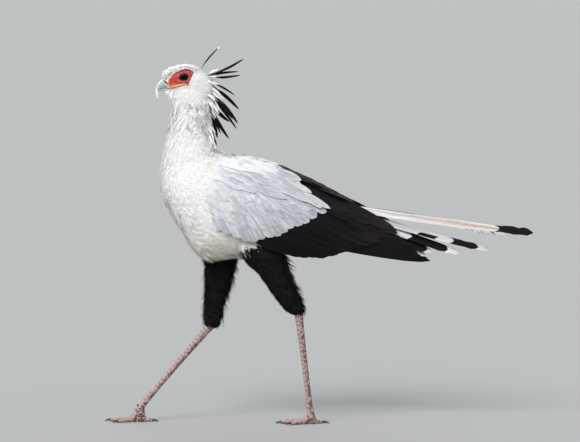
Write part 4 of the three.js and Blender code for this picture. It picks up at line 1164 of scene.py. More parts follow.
# Tail. Twelve feathers fan under the wing tips. The middle pair are long streamers, white turning buff, with
# ragged black tips, and the rest are grey and black with white tips.
# Each pair: its tip's x, z and side, half width and roll, then where it is black along the vane. On a
# one_sided pair the first black band keeps to the vane's outer half.
TAIL = [
    {"tip": (664, 545, 13), "half": 15, "roll": 0.85, "black": [(0.815, 1.2)], "buff": 1.0},
    {"tip": (541, 496, 15), "half": 12.5, "roll": 0.7, "black": [(0.50, 0.63), (0.74, 0.92)], "buff": 0.15,
     "pale": 0.75, "one_sided": True},
    {"tip": (453, 487, 17), "half": 14, "roll": 0.8, "black": [(-1, 0.42), (0.56, 0.90)]},
    {"tip": (376, 491, 18), "half": 14, "roll": 0.9, "black": [(-1, 0.94)]},
    {"tip": (358, 480, 16), "half": 13, "roll": 0.95, "black": [(-1, 0.84)]},
    {"tip": (300, 484, 14), "half": 13, "roll": 1.0, "black": [(-1, 1.2)]},
]
TAIL_ROOT = (148, 13, 608)
TAIL_LAYER = 2.6
TAIL_SAG = -4
STREAMER_UP = -10
FRINGE = {"from": 0.54, "to": 0.85, "count": 64, "length": 26, "half": 1.3}


def open_vanes(roots, tips, sag, half, roll, t, outline, shaft=0.5, camber=0.1):
    """Grids of feathers in the open, each along a bent shaft, turned about it by its roll."""
    way = unit(tips - roots)
    level = unit(np.cross([0, 0, 1.0], way))
    upright = np.cross(way, level)
    turn = np.asarray(roll)[:, None]
    flat = level * np.cos(turn) + upright * np.sin(turn)
    normal = np.cross(way, flat)
    middle = roots[:, None] + (tips - roots)[:, None] * t[None, :, None]
    middle = middle + upright[:, None] * (np.asarray(sag)[:, None] * 4 * t * (1 - t))[..., None]
    width = np.asarray(half)[:, None] * outline
    u = VANE_COLUMNS
    grid = middle[:, :, None] + flat[:, None, None] * (width[..., None] * u)[..., None]
    bend = camber * width[..., None] * (1 - u**2) + shaft * (np.abs(u) < 0.05)
    grid = grid + normal[:, None, None] * bend[..., None]
    return grid - way[:, None, None] * (0.25 * width[..., None] * np.abs(u) ** 2)[..., None]


rng = np.random.default_rng(61)
t = np.linspace(0, 1, 41)
roots, tips, half, roll = [], [], [], []
for i, row in enumerate(TAIL):
    tip_x, tip_z, tip_y = row["tip"]
    for side in (-1, 1):
        root_z = TAIL_ROOT[2] - (TAIL_LAYER * i if i else STREAMER_UP)
        roots.append([TAIL_ROOT[0], side * min(4 + 2 * i, TAIL_ROOT[1]), root_z])
        tips.append([tip_x, side * tip_y, tip_z])
        half.append(row["half"])
        roll.append(-side * row["roll"])
outline = np.tile(vane_outline(t, 0.3, 0.86, 0.3), (len(roots), 1))
narrowing = np.interp(t, [0, 0.35, 0.6, 0.78, 0.84, 1], [1, 0.98, 0.9, 0.76, 0.9, 1.2])
outline[:2] = vane_outline(t, 0.2, 0.93, 0.5) * narrowing
# The black tips are worn to a ragged edge
outline[:, 1:] *= np.where(t[1:] > 0.82, rng.uniform(0.66, 1.12, (len(roots), len(t) - 1)), 1)
roots, tips = np.array(roots, float), np.array(tips, float)
grid = open_vanes(roots, tips, [TAIL_SAG] * len(roots), half, roll, t, outline)
feather = vane_marks(grid, t, rng)
tone = np.zeros(grid.shape)
outer_half = -np.sign(grid[:, 20, -1, 2] - grid[:, 20, 0, 2])
slant = t[:, None] + 0.02 * np.abs(VANE_COLUMNS)[None]
for i, row in enumerate(np.repeat(TAIL, 2)):
    for k, (start, end) in enumerate(row["black"]):
        band = smooth((slant - start) / 0.03 + 0.5) * smooth((end - slant) / 0.03 + 0.5)
        if k == 0 and "one_sided" in row:
            band = band * smooth(0.5 + VANE_COLUMNS * outer_half[i] * 3)
        tone[i, ..., 0] = np.maximum(tone[i, ..., 0], band)
    tone[i, ..., 1] = row.get("buff", 0) * np.interp(t, [0, 0.3, 0.6, 1], [0.1, 0.3, 1.0, 1.0])[:, None]
    tone[i, ..., 2] = row.get("pale", 1)

tail_paint, tree = shader("tail_paint")
across, along, chance = tree.attribute("feather")
dark, tan, pale = tree.attribute("tone")
marks = tree.group(barb_group, Across=across, Along=along, Rows=130.0, Slant=0.06)
ragged = tree.math("MULTIPLY_ADD", tree.noise(240.0, 3.0), 0.7, -0.35)
colour = tree.blend(pale, (0.40, 0.40, 0.43), (0.70, 0.695, 0.71))
streaked = tree.group(streak_group, Across=across, Along=along, Chance=chance, Fine=3.4, Long=5.0)["Streaks"]
streaked = tree.math("MULTIPLY", streaked, tree.ramp(along, 0.85, 0.25, 0.2, 0.75))
colour = tree.blend(streaked, colour, (0.33, 0.325, 0.39))
in_strip = tree.ramp(tree.math("ABSOLUTE", across), 0.7, 0.2, 0.25, 1.0)
tan = tree.math("MULTIPLY", tan, in_strip)
tan = tree.math("MULTIPLY", tan, tree.ramp(tree.noise(40.0, 3.0), 0.3, 0.7, 0.35, 1.0))
colour = tree.blend(tan, colour, (0.40, 0.235, 0.155))
colour = tree.blend(tree.math("MULTIPLY", marks["Shaft"], 0.28), colour, (0.26, 0.18, 0.13))
colour = tree.blend(tree.ramp(tree.math("ADD", dark, ragged), 0.35, 0.65), colour, (0.006, 0.0055, 0.006))
tree.surface(Base_Color=colour, Roughness=0.65, Specular_IOR_Level=0.08,
             Normal=tree.bump(tree.math("ADD", marks["Ridges"], marks["Shaft"]), 0.5, 0.0005))

# Loose barbs hang from the lower edge of both streamers
count = FRINGE["count"]
fringe = []
for i in (0, 1):
    edge = 0 if grid[i, 20, 0, 2] < grid[i, 20, -1, 2] else -1
    share = np.sort(rng.uniform(FRINGE["from"], FRINGE["to"], count))
    start = np.stack([np.interp(share, t, grid[i, :, edge, k]) for k in range(3)], -1)
    length = FRINGE["length"] * rng.uniform(0.35, 1.1, (count, 1)) * ease(share[:, None], 0.5, 0.74)
    drop = rng.normal(0, 0.1, count), rng.uniform(-1.15, -0.65, count)
    way = unit(np.stack([np.full(count, 1.0), *drop], -1))
    barb_t = np.linspace(0, 1, 5)
    barb = open_vanes(start, start + way * np.maximum(length, 2), np.full(count, -1.0),
                      np.full(count, FRINGE["half"]), rng.normal(1.2, 0.3, count), barb_t,
                      np.tile([1, 0.9, 0.8, 0.6, 0.1], (count, 1)), shaft=0.0)
    barb, mark, paint = plain_vanes(barb, barb_t, rng, (0, 0.5, 1))
    mark[..., 0] = 0.5
    mark[..., 1] = share[:, None, None]
    fringe.append((barb, mark, paint))
vane_piece("tail_feathers", [(grid, feather, tone), *fringe], tail_paint, "tail")


# Back. Between the wings, grey mantle feathers and then black ones bridge the back, and white feathers cover
# the rump down to the tail's root. All are rooted in the skin and lie to the rear.
MANTLE = {"from": -256, "to": 92, "step": 16, "grey_to": -104, "length": 74, "half": 12.5,
          "side": (-45, -35, -25, -15, -5, 5, 15, 25, 35, 45), "under": 12}
RUMP = {"from": 10, "to": 150, "step": 13, "length": 70, "half": 12, "side": (-34, -23, -12, 0, 12, 23, 34)}


def back_rows(plan, height, rng):
    """Roots and tips of feathers over the back, staggered from row to row."""
    roots, tips = [], []
    for k, x in enumerate(np.arange(plan["from"], plan["to"], plan["step"])):
        for y in plan["side"]:
            y = y * mix(1, 0.55, float(ease(x, 60, 120)))
            apart = plan["side"][1] - plan["side"][0]
            y = y + apart * 0.5 * (k % 2) * (1 if y < 0 else -1) + rng.normal(0, 1.5)
            tip_x = x + plan["length"] * rng.uniform(0.75, 1.15)
            roots.append([x, y, height(x, y) - 7])
            tips.append([tip_x, y * 1.08 + rng.normal(0, 2), height(tip_x, y)])
    return np.array(roots), np.array(tips)


def mantle_height(x, y):
    """A little under the folded wings' top, and lower in the hollow between them."""
    _, middle, high, wide, opening = read(WING, x)
    top = middle + high * (opening * math.sqrt(max(0.05, 1 - (y / wide) ** 2)) - 0.3)
    hollow = 1 - float(smooth((abs(y) - 14) / 16))
    return min(top, middle + high) - mix(5, mix(3, MANTLE["under"], float(ease(x, -190, -110))), hollow)


def rump_height(x, y):
    _, middle, tall, wide = read(TORSO, min(x, 160.0))
    rise = middle + tall * math.sqrt(max(0.05, 1 - (y / (wide + 8)) ** 2))
    return rise - 5 - 0.36 * max(0.0, x - 160)


rng = np.random.default_rng(66)
t = np.linspace(0, 1, 15)
for plan, height, white in ((MANTLE, mantle_height, False), (RUMP, rump_height, True)):
    roots, tips = back_rows(plan, height, rng)
    many = len(roots)
    outline = np.tile(vane_outline(t, 0.3, 0.7, 0.4), (many, 1))
    grid = open_vanes(roots, tips, np.full(many, 3.0), plan["half"] * rng.uniform(0.9, 1.1, many),
                      rng.normal(0, 0.05, many), t, outline, shaft=0.3, camber=0.2)
    made = plain_vanes(grid, t, rng, (0.12 if white else 0.35, 0.2, 0))
    if white:
        vane_piece("rump_white", [made], covert_grey)
    else:
        grey = roots[:, 0] < MANTLE["grey_to"]
        vane_piece("mantle_grey", [tuple(part[grey] for part in made)], covert_grey)
        vane_piece("mantle_black", [tuple(part[~grey] for part in made)], flight_black)


# Crest. Long black feathers stand from the nape, one thin and upright over the crown and the rest fanning
# back and down the neck. Narrow white feathers hide their roots.
# Each row: root x and z, tip x and z, side, half width, where it is widest, roll and bow
CREST = [
    [-283, 1010, -229.1, 1074.5, -3, 2.4, 0.6, 1.2, 3], [-266, 992, -160.6, 1040.2, 6, 4.0, 0.72, 1.1, -5],
    [-266, 991, -174.8, 1004.7, -9, 4.6, 0.5, -0.9, 3], [-266, 987, -168.9, 994.1, 9, 4.2, 0.6, 1.0, -3],
    [-262, 978, -185.4, 936.2, 13, 3.4, 0.7, 1.1, 3], [-264, 972, -173.6, 897.2, -10, 6.0, 0.72, -1.1, 5],
    [-264, 950, -177.1, 855.9, 10, 6.0, 0.66, 1.2, 6], [-262, 944, -192, 870, -3, 5.6, 0.5, 0.9, 4],
    [-262, 934, -200.8, 860.5, 14, 6.0, 0.78, 1.2, -7], [-260, 922, -202, 814.5, -14, 5.8, 0.74, -1.2, -5],
    [-258, 905, -226, 828, 6, 4.4, 0.7, 1.1, 0], [-264, 896, -235, 815.7, -10, 6.4, 0.82, -1.1, 5],
    [-258, 872, -236.2, 792, 8, 4.4, 0.7, 1.1, -3], [-262, 944, -180, 842, -12, 5.2, 0.7, -1.0, 3],
]
NAPE = [
    [830, -247], [889, -251], [923, -254], [945, -256], [957, -252], [975, -256], [996, -267], [1013, -291],
]
WHITE_CREST = {"to_each": 4, "share": (0.34, 0.60), "half": (2.4, 4.0), "turn": 0.16, "side": 5}
HACKLES = {"count": 90, "lengths": (24, 52), "half": 2.4, "side": 22}


def lances(widest, t, blunt=0.10):
    """Outlines that widen from a thin quill and close to a point, one for each feather."""
    widest = np.asarray(widest, float)[:, None]
    opening = mix(0.2, 1.0, smooth(t / widest))
    closing = np.sqrt(np.maximum(0, 1 - np.clip((t - widest) / (1 - widest), 0, 1) ** 1.7))
    return opening * np.maximum(closing, blunt)


rng = np.random.default_rng(71)
t = np.linspace(0, 1, 25)
root_x, root_z, tip_x, tip_z, side, half, widest, roll, bow = np.array(CREST, float).T
roots = np.stack([root_x, 0.7 * side, root_z], -1)
tips = np.stack([tip_x, 1.5 * side, tip_z], -1)
grid = open_vanes(roots, tips, bow, half, roll, t, lances(0.82 * widest, t))
vane_piece("crest_black", [plain_vanes(grid, t, rng)], flight_black, "head")

each = WHITE_CREST["to_each"]
from_row = np.repeat(np.arange(1, len(CREST)), each)
many = len(from_row)
start = roots[from_row] + rng.normal(0, 1, (many, 3)) * [3, 0.6 * WHITE_CREST["side"], 4]
way = (tips - roots)[from_row] * rng.uniform(*WHITE_CREST["share"], (many, 1))
way *= np.where(tip_z[from_row] > 990, 0.62, 0.9)[:, None]
turn = rng.normal(0, WHITE_CREST["turn"], many)
way = np.stack([way[:, 0] * np.cos(turn) - way[:, 2] * np.sin(turn), way[:, 1] + rng.normal(0, 4, many),
                way[:, 0] * np.sin(turn) + way[:, 2] * np.cos(turn)], -1)
short = open_vanes(start, start + way, rng.normal(0, 2, many), rng.uniform(*WHITE_CREST["half"], many),
                   roll[from_row] + rng.normal(0, 0.4, many), t[::2],
                   lances(rng.uniform(0.45, 0.75, many), t[::2]))
count = HACKLES["count"]
height = rng.uniform(818, 992, count)
angle = np.radians(np.interp(height, [818, 900, 960, 992], [-80, -70, -44, -6]) + rng.normal(0, 9, count))
side = rng.uniform(-1, 1, count) * HACKLES["side"]
way = unit(np.stack([np.cos(angle), side / 90, np.sin(angle)], -1))
start = np.stack([read(NAPE, height)[:, 1] - 9 - 0.02 * side**2, side, height], -1)
long = rng.uniform(*HACKLES["lengths"], (count, 1))
hackles = open_vanes(start, start + way * long, rng.normal(0, 2, count), np.full(count, HACKLES["half"]),
                     -rng.normal(0.9, 0.5, count) * np.sign(side), t[::2],
                     lances(rng.uniform(0.3, 0.6, count), t[::2]))
# The upright feather ends in a white tip of its own
upright = roots[:1] + (tips - roots)[:1] * 0.86
top = open_vanes(upright, tips[:1] + [0.4, 0, 0.8], np.array([0.3]), np.array([2.0]), roll[:1], t[::2],
                 lances([0.5], t[::2]))
made = [plain_vanes(grid, t[::2], rng, (0.05, 0, 0)) for grid in (short, hackles, top)]
vane_piece("crest_white", made, white_down)


# Crown and beard. Short white feathers stand forward over the bill's base and lie back over the crown, and
# pointed ones hang from the chin. All are rooted in the skin.
# Each row: x and z of the crown's top line, from the bill's base to the nape
CROWN = [
    [-389, 990], [-388.5, 1000], [-381.5, 1009], [-367, 1016.6], [-343, 1023], [-324, 1024.6],
    [-303, 1022.4], [-284, 1013],
]
FOREHEAD = {"count": 900, "side": 17, "round": 0.040, "inside": 6, "lengths": (10, 20), "half": 1.15}
BEARD = {"count": 260, "from": -380, "to": -350, "under": 953, "side": 13, "lengths": (12, 54), "half": 1.4,
         "roll": -1.57, "roll_to_side": -0.065}

rng = np.random.default_rng(73)
count = FOREHEAD["count"]
share = rng.random(count)
side = rng.uniform(-1, 1, count) * FOREHEAD["side"]
line = spread(CROWN, share)
ahead = unit(spread(CROWN, np.minimum(share + 0.02, 1)) - spread(CROWN, np.maximum(share - 0.02, 0)))
out = np.stack([-ahead[:, 1], ahead[:, 0]], -1)
depth = FOREHEAD["round"] * side**2 + rng.uniform(0, 1.6, count)
tip = line - out * depth[:, None]
root = tip - ahead * rng.uniform(*FOREHEAD["lengths"], (count, 1)) - out * FOREHEAD["inside"]
root, tip = (np.stack([p[:, 0], side * lean, p[:, 1]], -1) for p, lean in ((root, 0.9), (tip, 1.0)))
crown = open_vanes(root, tip, rng.uniform(1, 4, count), np.full(count, FOREHEAD["half"]),
                   (rng.normal(0, 0.25, count) - 0.75) * np.sign(side), t[::4],
                   lances(rng.uniform(0.5, 0.7, count), t[::4]))
# Some feathers are grey, more towards the crown's sides: painted shade between the feathers
crown_painted_shade = np.zeros(crown.shape)
crown_painted_shade[..., 0] = (rng.random(count) ** 3 * mix(0.2, 0.9, np.abs(side) / FOREHEAD["side"]))[:, None, None]
vane_piece("crown_white", [(crown, vane_marks(crown, t[::4], rng), crown_painted_shade)], white_down)

rng = np.random.default_rng(74)
count = BEARD["count"]
back = rng.random(count)
side = rng.uniform(-1, 1, count) * BEARD["side"]
root = np.stack([mix(BEARD["from"], BEARD["to"], back), side, BEARD["under"] + 2 * back], -1)
long = mix(*BEARD["lengths"], back ** 1.3) * rng.uniform(0.6, 1.05, count)
way = unit(np.stack([-0.16 + rng.normal(0, 0.07, count), side / 70, np.full(count, -1.0)], -1))
beard = open_vanes(root, root + way * long[:, None], rng.normal(-1, 1, count), np.full(count, BEARD["half"]),
                   rng.normal(BEARD["roll"], 0.3, count) + BEARD["roll_to_side"] * side, t[::4],
                   lances(rng.uniform(0.3, 0.55, count), t[::4]))
vane_piece("beard_white", [plain_vanes(beard, t[::4], rng, (0.05, 0, 0))], white_down)


# Bare face. Red, finely wrinkled skin runs from the bill round the eye, with a puffed ring and lids that
# close on the eyeball. Its edges tuck under the head's feathers. A yellow-orange gape lies along the mouth.
LID = {"long": 13.4, "high": 9.8, "tilt": 0.16, "open": 0.99, "rim": 1.08}
BALL = {"middle_y": 21.5, "long": 16.0, "deep": 8.4, "high": 12.6}
BROW = [[-368, 992.5], [-356, 999], [-342, 1006.5], [-327, 1011], [-311, 1009], [-301, 1004]]
GAPE = [
    [-379, 957.6, 1.0], [-371, 959.0, 2.4], [-362, 961.4, 3.6], [-353, 963.4, 3.6], [-344, 966.2, 2.6],
    [-334, 968.0, 1.9], [-325, 968.6, 1.6], [-316, 968.4, 0.8],
]


def head_reach(x, z):
    """How far the side of the head stands from the middle plane."""
    _, middle, tall, wide = np.moveaxis(read(HEAD, x), -1, 0)
    rise = np.clip((z - middle) / tall, -0.99, 0.99)
    return wide * np.sqrt(1 - rise**2) * (1 + HEAD_LEAN * rise)


def lid_share(x, z):
    """How far out a place lies in the eye's opening: 1 on the lids' edge."""
    u, v = x - EYE[0], z - EYE[2]
    cos, sin = math.cos(LID["tilt"]), math.sin(LID["tilt"])
    return np.hypot((u * cos + v * sin) / LID["long"], (v * cos - u * sin) / LID["high"])


FACE_STEP = 0.62
GAPE_SIDES = 20
GAPE_SUNK = 0.9
x, z = np.meshgrid(np.arange(-382, -297, FACE_STEP), np.arange(953, 1016, FACE_STEP), indexing="ij")
inside = inside_face(x, z)
lid = lid_share(x, z)
turn = np.arctan2(z - EYE[2], x - EYE[0])
warp = 0.9 * np.sin(x * 0.31 + z * 0.17) + 0.6 * np.sin(z * 0.43 - x * 0.21)
folds = 0.34 * np.sin(lid * 11 + warp) + 0.22 * np.sin(turn * 13 + lid * 3 + warp)
folds = folds + 0.15 * np.sin(x * 1.9 + warp * 2)
height = mix(-4.5, 0.9, ease(inside, -3, 1.5))
height += folds * smooth(inside / 5) * smooth((lid - 1.15) / 0.3)
height += 1.2 * np.exp(-(((lid - 1.6) / 0.22) ** 2)) + 1.3 * np.exp(-(((lid - LID["rim"]) / 0.07) ** 2))
height -= 8.0 * smooth((LID["open"] + 0.03 - lid) / 0.24)
cells = np.arange(x.size).reshape(x.shape)
quads = np.stack([cells[:-1, :-1], cells[1:, :-1], cells[1:, 1:], cells[:-1, 1:]], -1).reshape(-1, 4)
shown = (lid.ravel()[quads].min(1) > 0.76) & (inside.ravel()[quads].max(1) > -4.5)

face_red, tree = shader("face_red")
yellow, dark, rim = tree.attribute("paint")
mottle = tree.noise(15.0, 4.0)
colour = tree.blend(tree.ramp(mottle, 0.36, 0.66), (0.46, 0.014, 0.026), (0.76, 0.11, 0.12))
colour = tree.blend(tree.ramp(tree.noise(10.0, 3.0), 0.52, 0.66, 0.0, 0.75), colour, (0.12, 0.006, 0.012))
patchy = tree.math("MULTIPLY", yellow, tree.ramp(tree.noise(14.0, 3.0), 0.36, 0.56, 0.25, 1.0))
colour = tree.blend(patchy, colour, (0.74, 0.46, 0.12))
colour = tree.blend(dark, colour, (0.020, 0.014, 0.012))
colour = tree.blend(rim, colour, (0.60, 0.36, 0.11))
tree.surface(Base_Color=colour, Roughness=0.55, Specular_IOR_Level=0.25, Subsurface_Weight=0.06,
             Subsurface_Radius=(0.003, 0.001, 0.001), Subsurface_Scale=1.0,
             Normal=tree.bump(tree.noise(700.0, 3.0), 0.6, 0.0006))


def on_line(line, x, z):
    """How far places are from a line of x, z points, in millimetres."""
    line = np.asarray(line, float)[:, :2]
    p = np.stack([np.ravel(x), np.ravel(z)], -1)[:, None]
    a, edge = line[:-1], line[1:] - line[:-1]
    t = np.clip(((p - a) * edge).sum(-1) / (edge**2).sum(-1), 0, 1)
    return np.linalg.norm(p - a - edge * t[..., None], axis=-1).min(1).reshape(np.shape(x))


used, flat = np.unique(quads[shown], return_inverse=True)
yellow_wide = mix(4.6, 9.0, ease(x, -340, -365))
yellow = smooth(1.25 - on_line(GAPE, x, z) / yellow_wide) * ease(x, -316, -328)
yellow = yellow + 0.55 * ease(x, -368, -377) * ease(z, 966, 975)
# Dark along the brow line, partly the dark lash line and partly painted shade under the brow, and dark at the
# lids' rims
dark = smooth(1.55 - on_line(BROW, x, z) / 2.4) * 0.95 + 0.9 * smooth((1.14 - lid) / 0.08)
# Dark lines cross the skin outside the lids: painted shade in its creases
crease_shade = streaks(np.stack([x, 0 * x, z], -1).reshape(-1, 3), (7, 7, 4), 77).reshape(x.shape)
dark = np.minimum(dark + 0.7 * smooth((crease_shade - 0.62) / 0.2) * smooth((lid - 1.2) / 0.2), 1)
corner_gap = np.minimum(np.hypot(x - EYE[0] - 1, z - EYE[2] + 11), np.hypot(x - EYE[0] - 14, z - EYE[2] - 2))
rim = smooth(1.2 - np.abs(lid - LID["rim"] - 0.09) / 0.05) * mix(0.15, 1.0, smooth(1.5 - corner_gap / 8))
for name, side in SIDES.items():
    y = side * (head_reach(x, z) + height)
    face_points = np.stack([x, y, z], -1).reshape(-1, 3)[used]
    face_quads = flat.reshape(-1, 4) if side < 0 else flat.reshape(-1, 4)[:, ::-1]
    face = mesh_object("face_" + name, face_points, [face_quads], face_red)
    painted(face, np.minimum(yellow, 1).ravel()[used], dark.ravel()[used], rim.ravel()[used])
    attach(face, "root")
    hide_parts("head")

gape_paint, tree = shader("gape_paint")
low, orange, _ = tree.attribute("paint")
colour = tree.blend(tree.ramp(tree.noise(14.0, 3.0), 0.4, 0.6), (0.62, 0.36, 0.07), (0.84, 0.70, 0.26))
deep = tree.blend(tree.noise(300.0, 3.0), (0.70, 0.20, 0.008), (0.82, 0.42, 0.03))
colour = tree.blend(tree.ramp(tree.math("ADD", orange, tree.noise(12.0, 3.0)), 0.75, 1.2), colour, deep)
colour = tree.blend(low, colour, (0.42, 0.035, 0.025))
tree.surface(Base_Color=colour, Roughness=0.42, Subsurface_Weight=0.1,
             Subsurface_Radius=(0.003, 0.002, 0.001), Subsurface_Scale=1.0,
             Normal=tree.bump(tree.noise(700.0, 2.0), 0.4, 0.0004))
for name, side in SIDES.items():
    rows = [[gape_x, side * (head_reach(gape_x, gape_z) - GAPE_SUNK), gape_z, high, 2.6 * min(1, high / 2.4)]
            for gape_x, gape_z, high in GAPE]
    rings = limb(rows, 40, GAPE_SIDES)
    upward = np.sign(rings[0, 0, 2] - rings[0, GAPE_SIDES // 2, 2])
    lower = smooth((-np.cos(2 * np.pi * np.arange(GAPE_SIDES) / GAPE_SIDES) * upward - 0.45) / 0.3)
    orange = ease(rings[..., 0, 0], -386, -372) * ease(rings[..., 0, 0], -348, -360)
    gape = mesh_object("gape_" + name, *capped(rings), gape_paint)
    painted(gape, np.broadcast_to(lower, rings.shape[:2]), np.repeat(orange, GAPE_SIDES))
    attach(gape, "root")


# Eyes. A dark glossy ball fills each lid, black at the pupil with a thin hazel iris round it. Stiff black
# lashes stand from the upper lid.
eye_paint, tree = shader("eye_paint")
ring, _, _ = tree.attribute("paint")
iris = tree.blend(tree.noise(1500.0, 2.0), (0.012, 0.008, 0.006), (0.034, 0.021, 0.013))
colour = tree.blend(tree.ramp(ring, 0.60, 0.68), (0.002, 0.002, 0.002), iris)
colour = tree.blend(tree.ramp(ring, 0.86, 0.97), colour, (0.004, 0.003, 0.003))
tree.surface(Base_Color=colour, Roughness=0.06, Specular_IOR_Level=0.045)

lash_black, tree = shader("lash_black")
colour = tree.blend(tree.noise(400.0), (0.008, 0.007, 0.007), (0.02, 0.017, 0.015))
tree.surface(Base_Color=colour, Roughness=0.45)
LASHES = {"count": 15, "from": 12, "to": 172, "length": 8.5, "thick": 0.42}

for name, side in SIDES.items():
    down = np.linspace(0, np.pi, 33)[:, None]
    turn = np.linspace(0, 2 * np.pi, 49)[None, :-1]
    cos, sin = math.cos(LID["tilt"]), math.sin(LID["tilt"])
    u = BALL["long"] * np.sin(down) * np.cos(turn)
    v = BALL["high"] * np.sin(down) * np.sin(turn)
    y = side * (BALL["middle_y"] + BALL["deep"] * np.cos(down) + 0 * turn)
    rings = np.stack([EYE[0] + u * cos - v * sin, y, EYE[2] + u * sin + v * cos], -1)[1:-1]
    ball_points, ball_faces = capped(rings)
    if side < 0:
        ball_faces = [f[:, ::-1] for f in ball_faces]
    ball = mesh_object("eyeball_" + name, ball_points, ball_faces, eye_paint)
    ring = np.hypot(u / LID["long"], v / LID["high"])[1:-1]
    ring = np.concatenate([np.where(np.cos(down[1:-1]) > 0, ring, 1.0).ravel(), [0, 1]])
    painted(ball, ring)
    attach(ball, "root")
    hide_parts("eye_" + name)

    lash_skins = []
    rng = np.random.default_rng(80 + side)
    for angle in np.radians(np.linspace(LASHES["from"], LASHES["to"], LASHES["count"])):
        lean = np.array([[cos, -sin], [sin, cos]])
        out = lean @ [math.cos(angle), math.sin(angle)]
        at = lean @ [LID["long"] * math.cos(angle), LID["high"] * math.sin(angle)]
        at = EYE[[0, 2]] + at * LID["rim"]
        long = LASHES["length"] * rng.uniform(0.75, 1.1)
        base_y = head_reach(at[0], at[1]) + 0.6
        rows = []
        for t in (0, 0.4, 0.75, 1):
            place = at + out * long * (0.62 * t) + np.array([0.25 * long * t * t, 0])
            rise = base_y + long * (0.55 * t - 0.1 * t * t)
            thick = LASHES["thick"] * (1 - 0.8 * t)
            rows.append([place[0], side * rise, place[1], thick, thick])
        lash_skins.append(capped(limb(rows, 6, 6)))
    lashes = mesh_object("lashes_" + name, *joined(lash_skins), lash_black)
    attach(lashes, "root")


# Bill. Two horn halves in blue-grey: the upper one hooks down past the lower. A pale yellow cere with a
# slanted black nostril covers the upper half's base.
# Each row: the culmen's x and z, the cutting edge's x and z, and the half width
UPPER_BILL = [
    [-369, 988, -369, 961, 17], [-379, 987.5, -379, 958, 14], [-389, 985.5, -388, 955.6, 11.6],
    [-397, 979.5, -394.5, 953.5, 9.8], [-403, 971.5, -399, 951.6, 8], [-407.6, 962, -400.8, 949.4, 6.4],
    [-410.6, 951.5, -400.6, 945.4, 5.0], [-410.6, 942.4, -401.0, 939.4, 4.0],
    [-408.8, 933.6, -401.6, 933, 2.9], [-405, 925.6, -402.4, 926.2, 1.3],
]
LOWER_BILL = [
    [-376, 958.4, -376, 950, 11.4], [-380, 957.8, -380, 949.4, 11], [-389, 955.4, -389, 948.4, 9],
    [-396, 953.2, -396, 948.2, 6.6], [-400.5, 951.2, -400, 948.8, 3.4], [-402, 950.4, -401.6, 949.6, 1.4],
]
NOSTRIL = [[-386.4, 978.6], [-376.4, 970.2]]


def bill_half(rows, steps=90, around=72):
    t = np.linspace(0, 1, steps)
    top_x, top_z, edge_x, edge_z, wide = read_list(rows, t).T[..., None]
    turn = 2 * np.pi * np.arange(around) / around
    share = (1 + np.sin(turn)) / 2
    y = wide * np.cos(turn) + 0 * top_x
    return np.stack([mix(edge_x, top_x, share), y, mix(edge_z, top_z, share)], -1), t, share


bill_horn, tree = shader("bill_horn")
cere, slit, pale = tree.attribute("paint")
grain = tree.noise(9.0, 4.0)
colour = tree.blend(tree.ramp(grain, 0.35, 0.65), (0.27, 0.34, 0.385), (0.47, 0.545, 0.575))
# Pale at the tip, the horn's own colour, and along the culmen, a painted highlight
colour = tree.blend(pale, colour, (0.80, 0.82, 0.81))
colour = tree.blend(cere, colour, tree.blend(tree.noise(500.0, 3.0), (0.80, 0.74, 0.42), (0.74, 0.56, 0.20)))
colour = tree.blend(slit, colour, (0.006, 0.005, 0.005))
rough = tree.math("MULTIPLY_ADD", cere, 0.25, 0.24)
tree.surface(Base_Color=colour, Roughness=rough, Specular_IOR_Level=0.5, Coat_Weight=0.3, Coat_Roughness=0.15,
             Normal=tree.bump(tree.noise(420.0, 3.0), 0.25, 0.0004))

for name, rows, upper in (("bill_top", UPPER_BILL, 1), ("bill_bottom", LOWER_BILL, 0)):
    rings, t, share = bill_half(rows)
    x, z = rings[..., 0], rings[..., 2]
    cere = upper * ease(x, -391.5, -389) * smooth((z - 975.5 + 0.72 * (x + 391)) / 2.5)
    cere = np.maximum(cere, upper * ease(x, -376, -372) * ease(z, 964, 968))
    gap = on_line(NOSTRIL, x, z) if upper else 99 + 0 * x
    slit = smooth((2.7 - gap) / 0.7)
    outward = np.sign(rings[..., 1])
    rings[..., 1] -= outward * 2.6 * smooth((2.6 - gap) / 1.4)
    rings[..., 1] += outward * 0.8 * cere * np.minimum(1, np.abs(rings[..., 1]) / 4)
    # The tip is pale in its own colour. Along the top of the culmen the pale is a painted highlight, half as
    # strong on the lower half
    pale = smooth((t[:, None] - 0.52) / 0.2) + ease(share, 0.74, 0.88) * smooth((t[:, None] - 0.2) / 0.15)
    bill_points, bill_faces = capped(rings)
    bill = mesh_object(name, bill_points, bill_faces, bill_horn)
    painted(bill, cere, slit, np.clip(pale, 0, 1) * (1 if upper else 0.5))
    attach(bill, "root")
    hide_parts("bill_upper" if upper else "bill_lower")


# Tarsi. Long bare shanks in pinkish-grey skin: a row of broad scutes down the front, and small six-sided
# scales round the sides and the rear.
LEGS = {
    "left": {"ankle": (-5.7, -44, 331.7), "foot": (31, -20, 22), "pitch": 0},
    "right": {"ankle": (-253.7, 40, 279), "foot": (-458, 32, 42), "pitch": 8},
}
TARSUS = [
    [-0.05, 13.5, 11.5], [0.02, 12.6, 10.8], [0.08, 11.5, 10], [0.35, 9.2, 8.2], [0.7, 8.4, 7.6],
    [0.92, 9.6, 9], [1.0, 11, 11.5], [1.04, 10.5, 11],
]
SCUTES = {"count": 27, "raised": 0.9, "rings": 6}
# The colour of the grooves between scales and between scutes
GROOVE = (0.075, 0.042, 0.036)

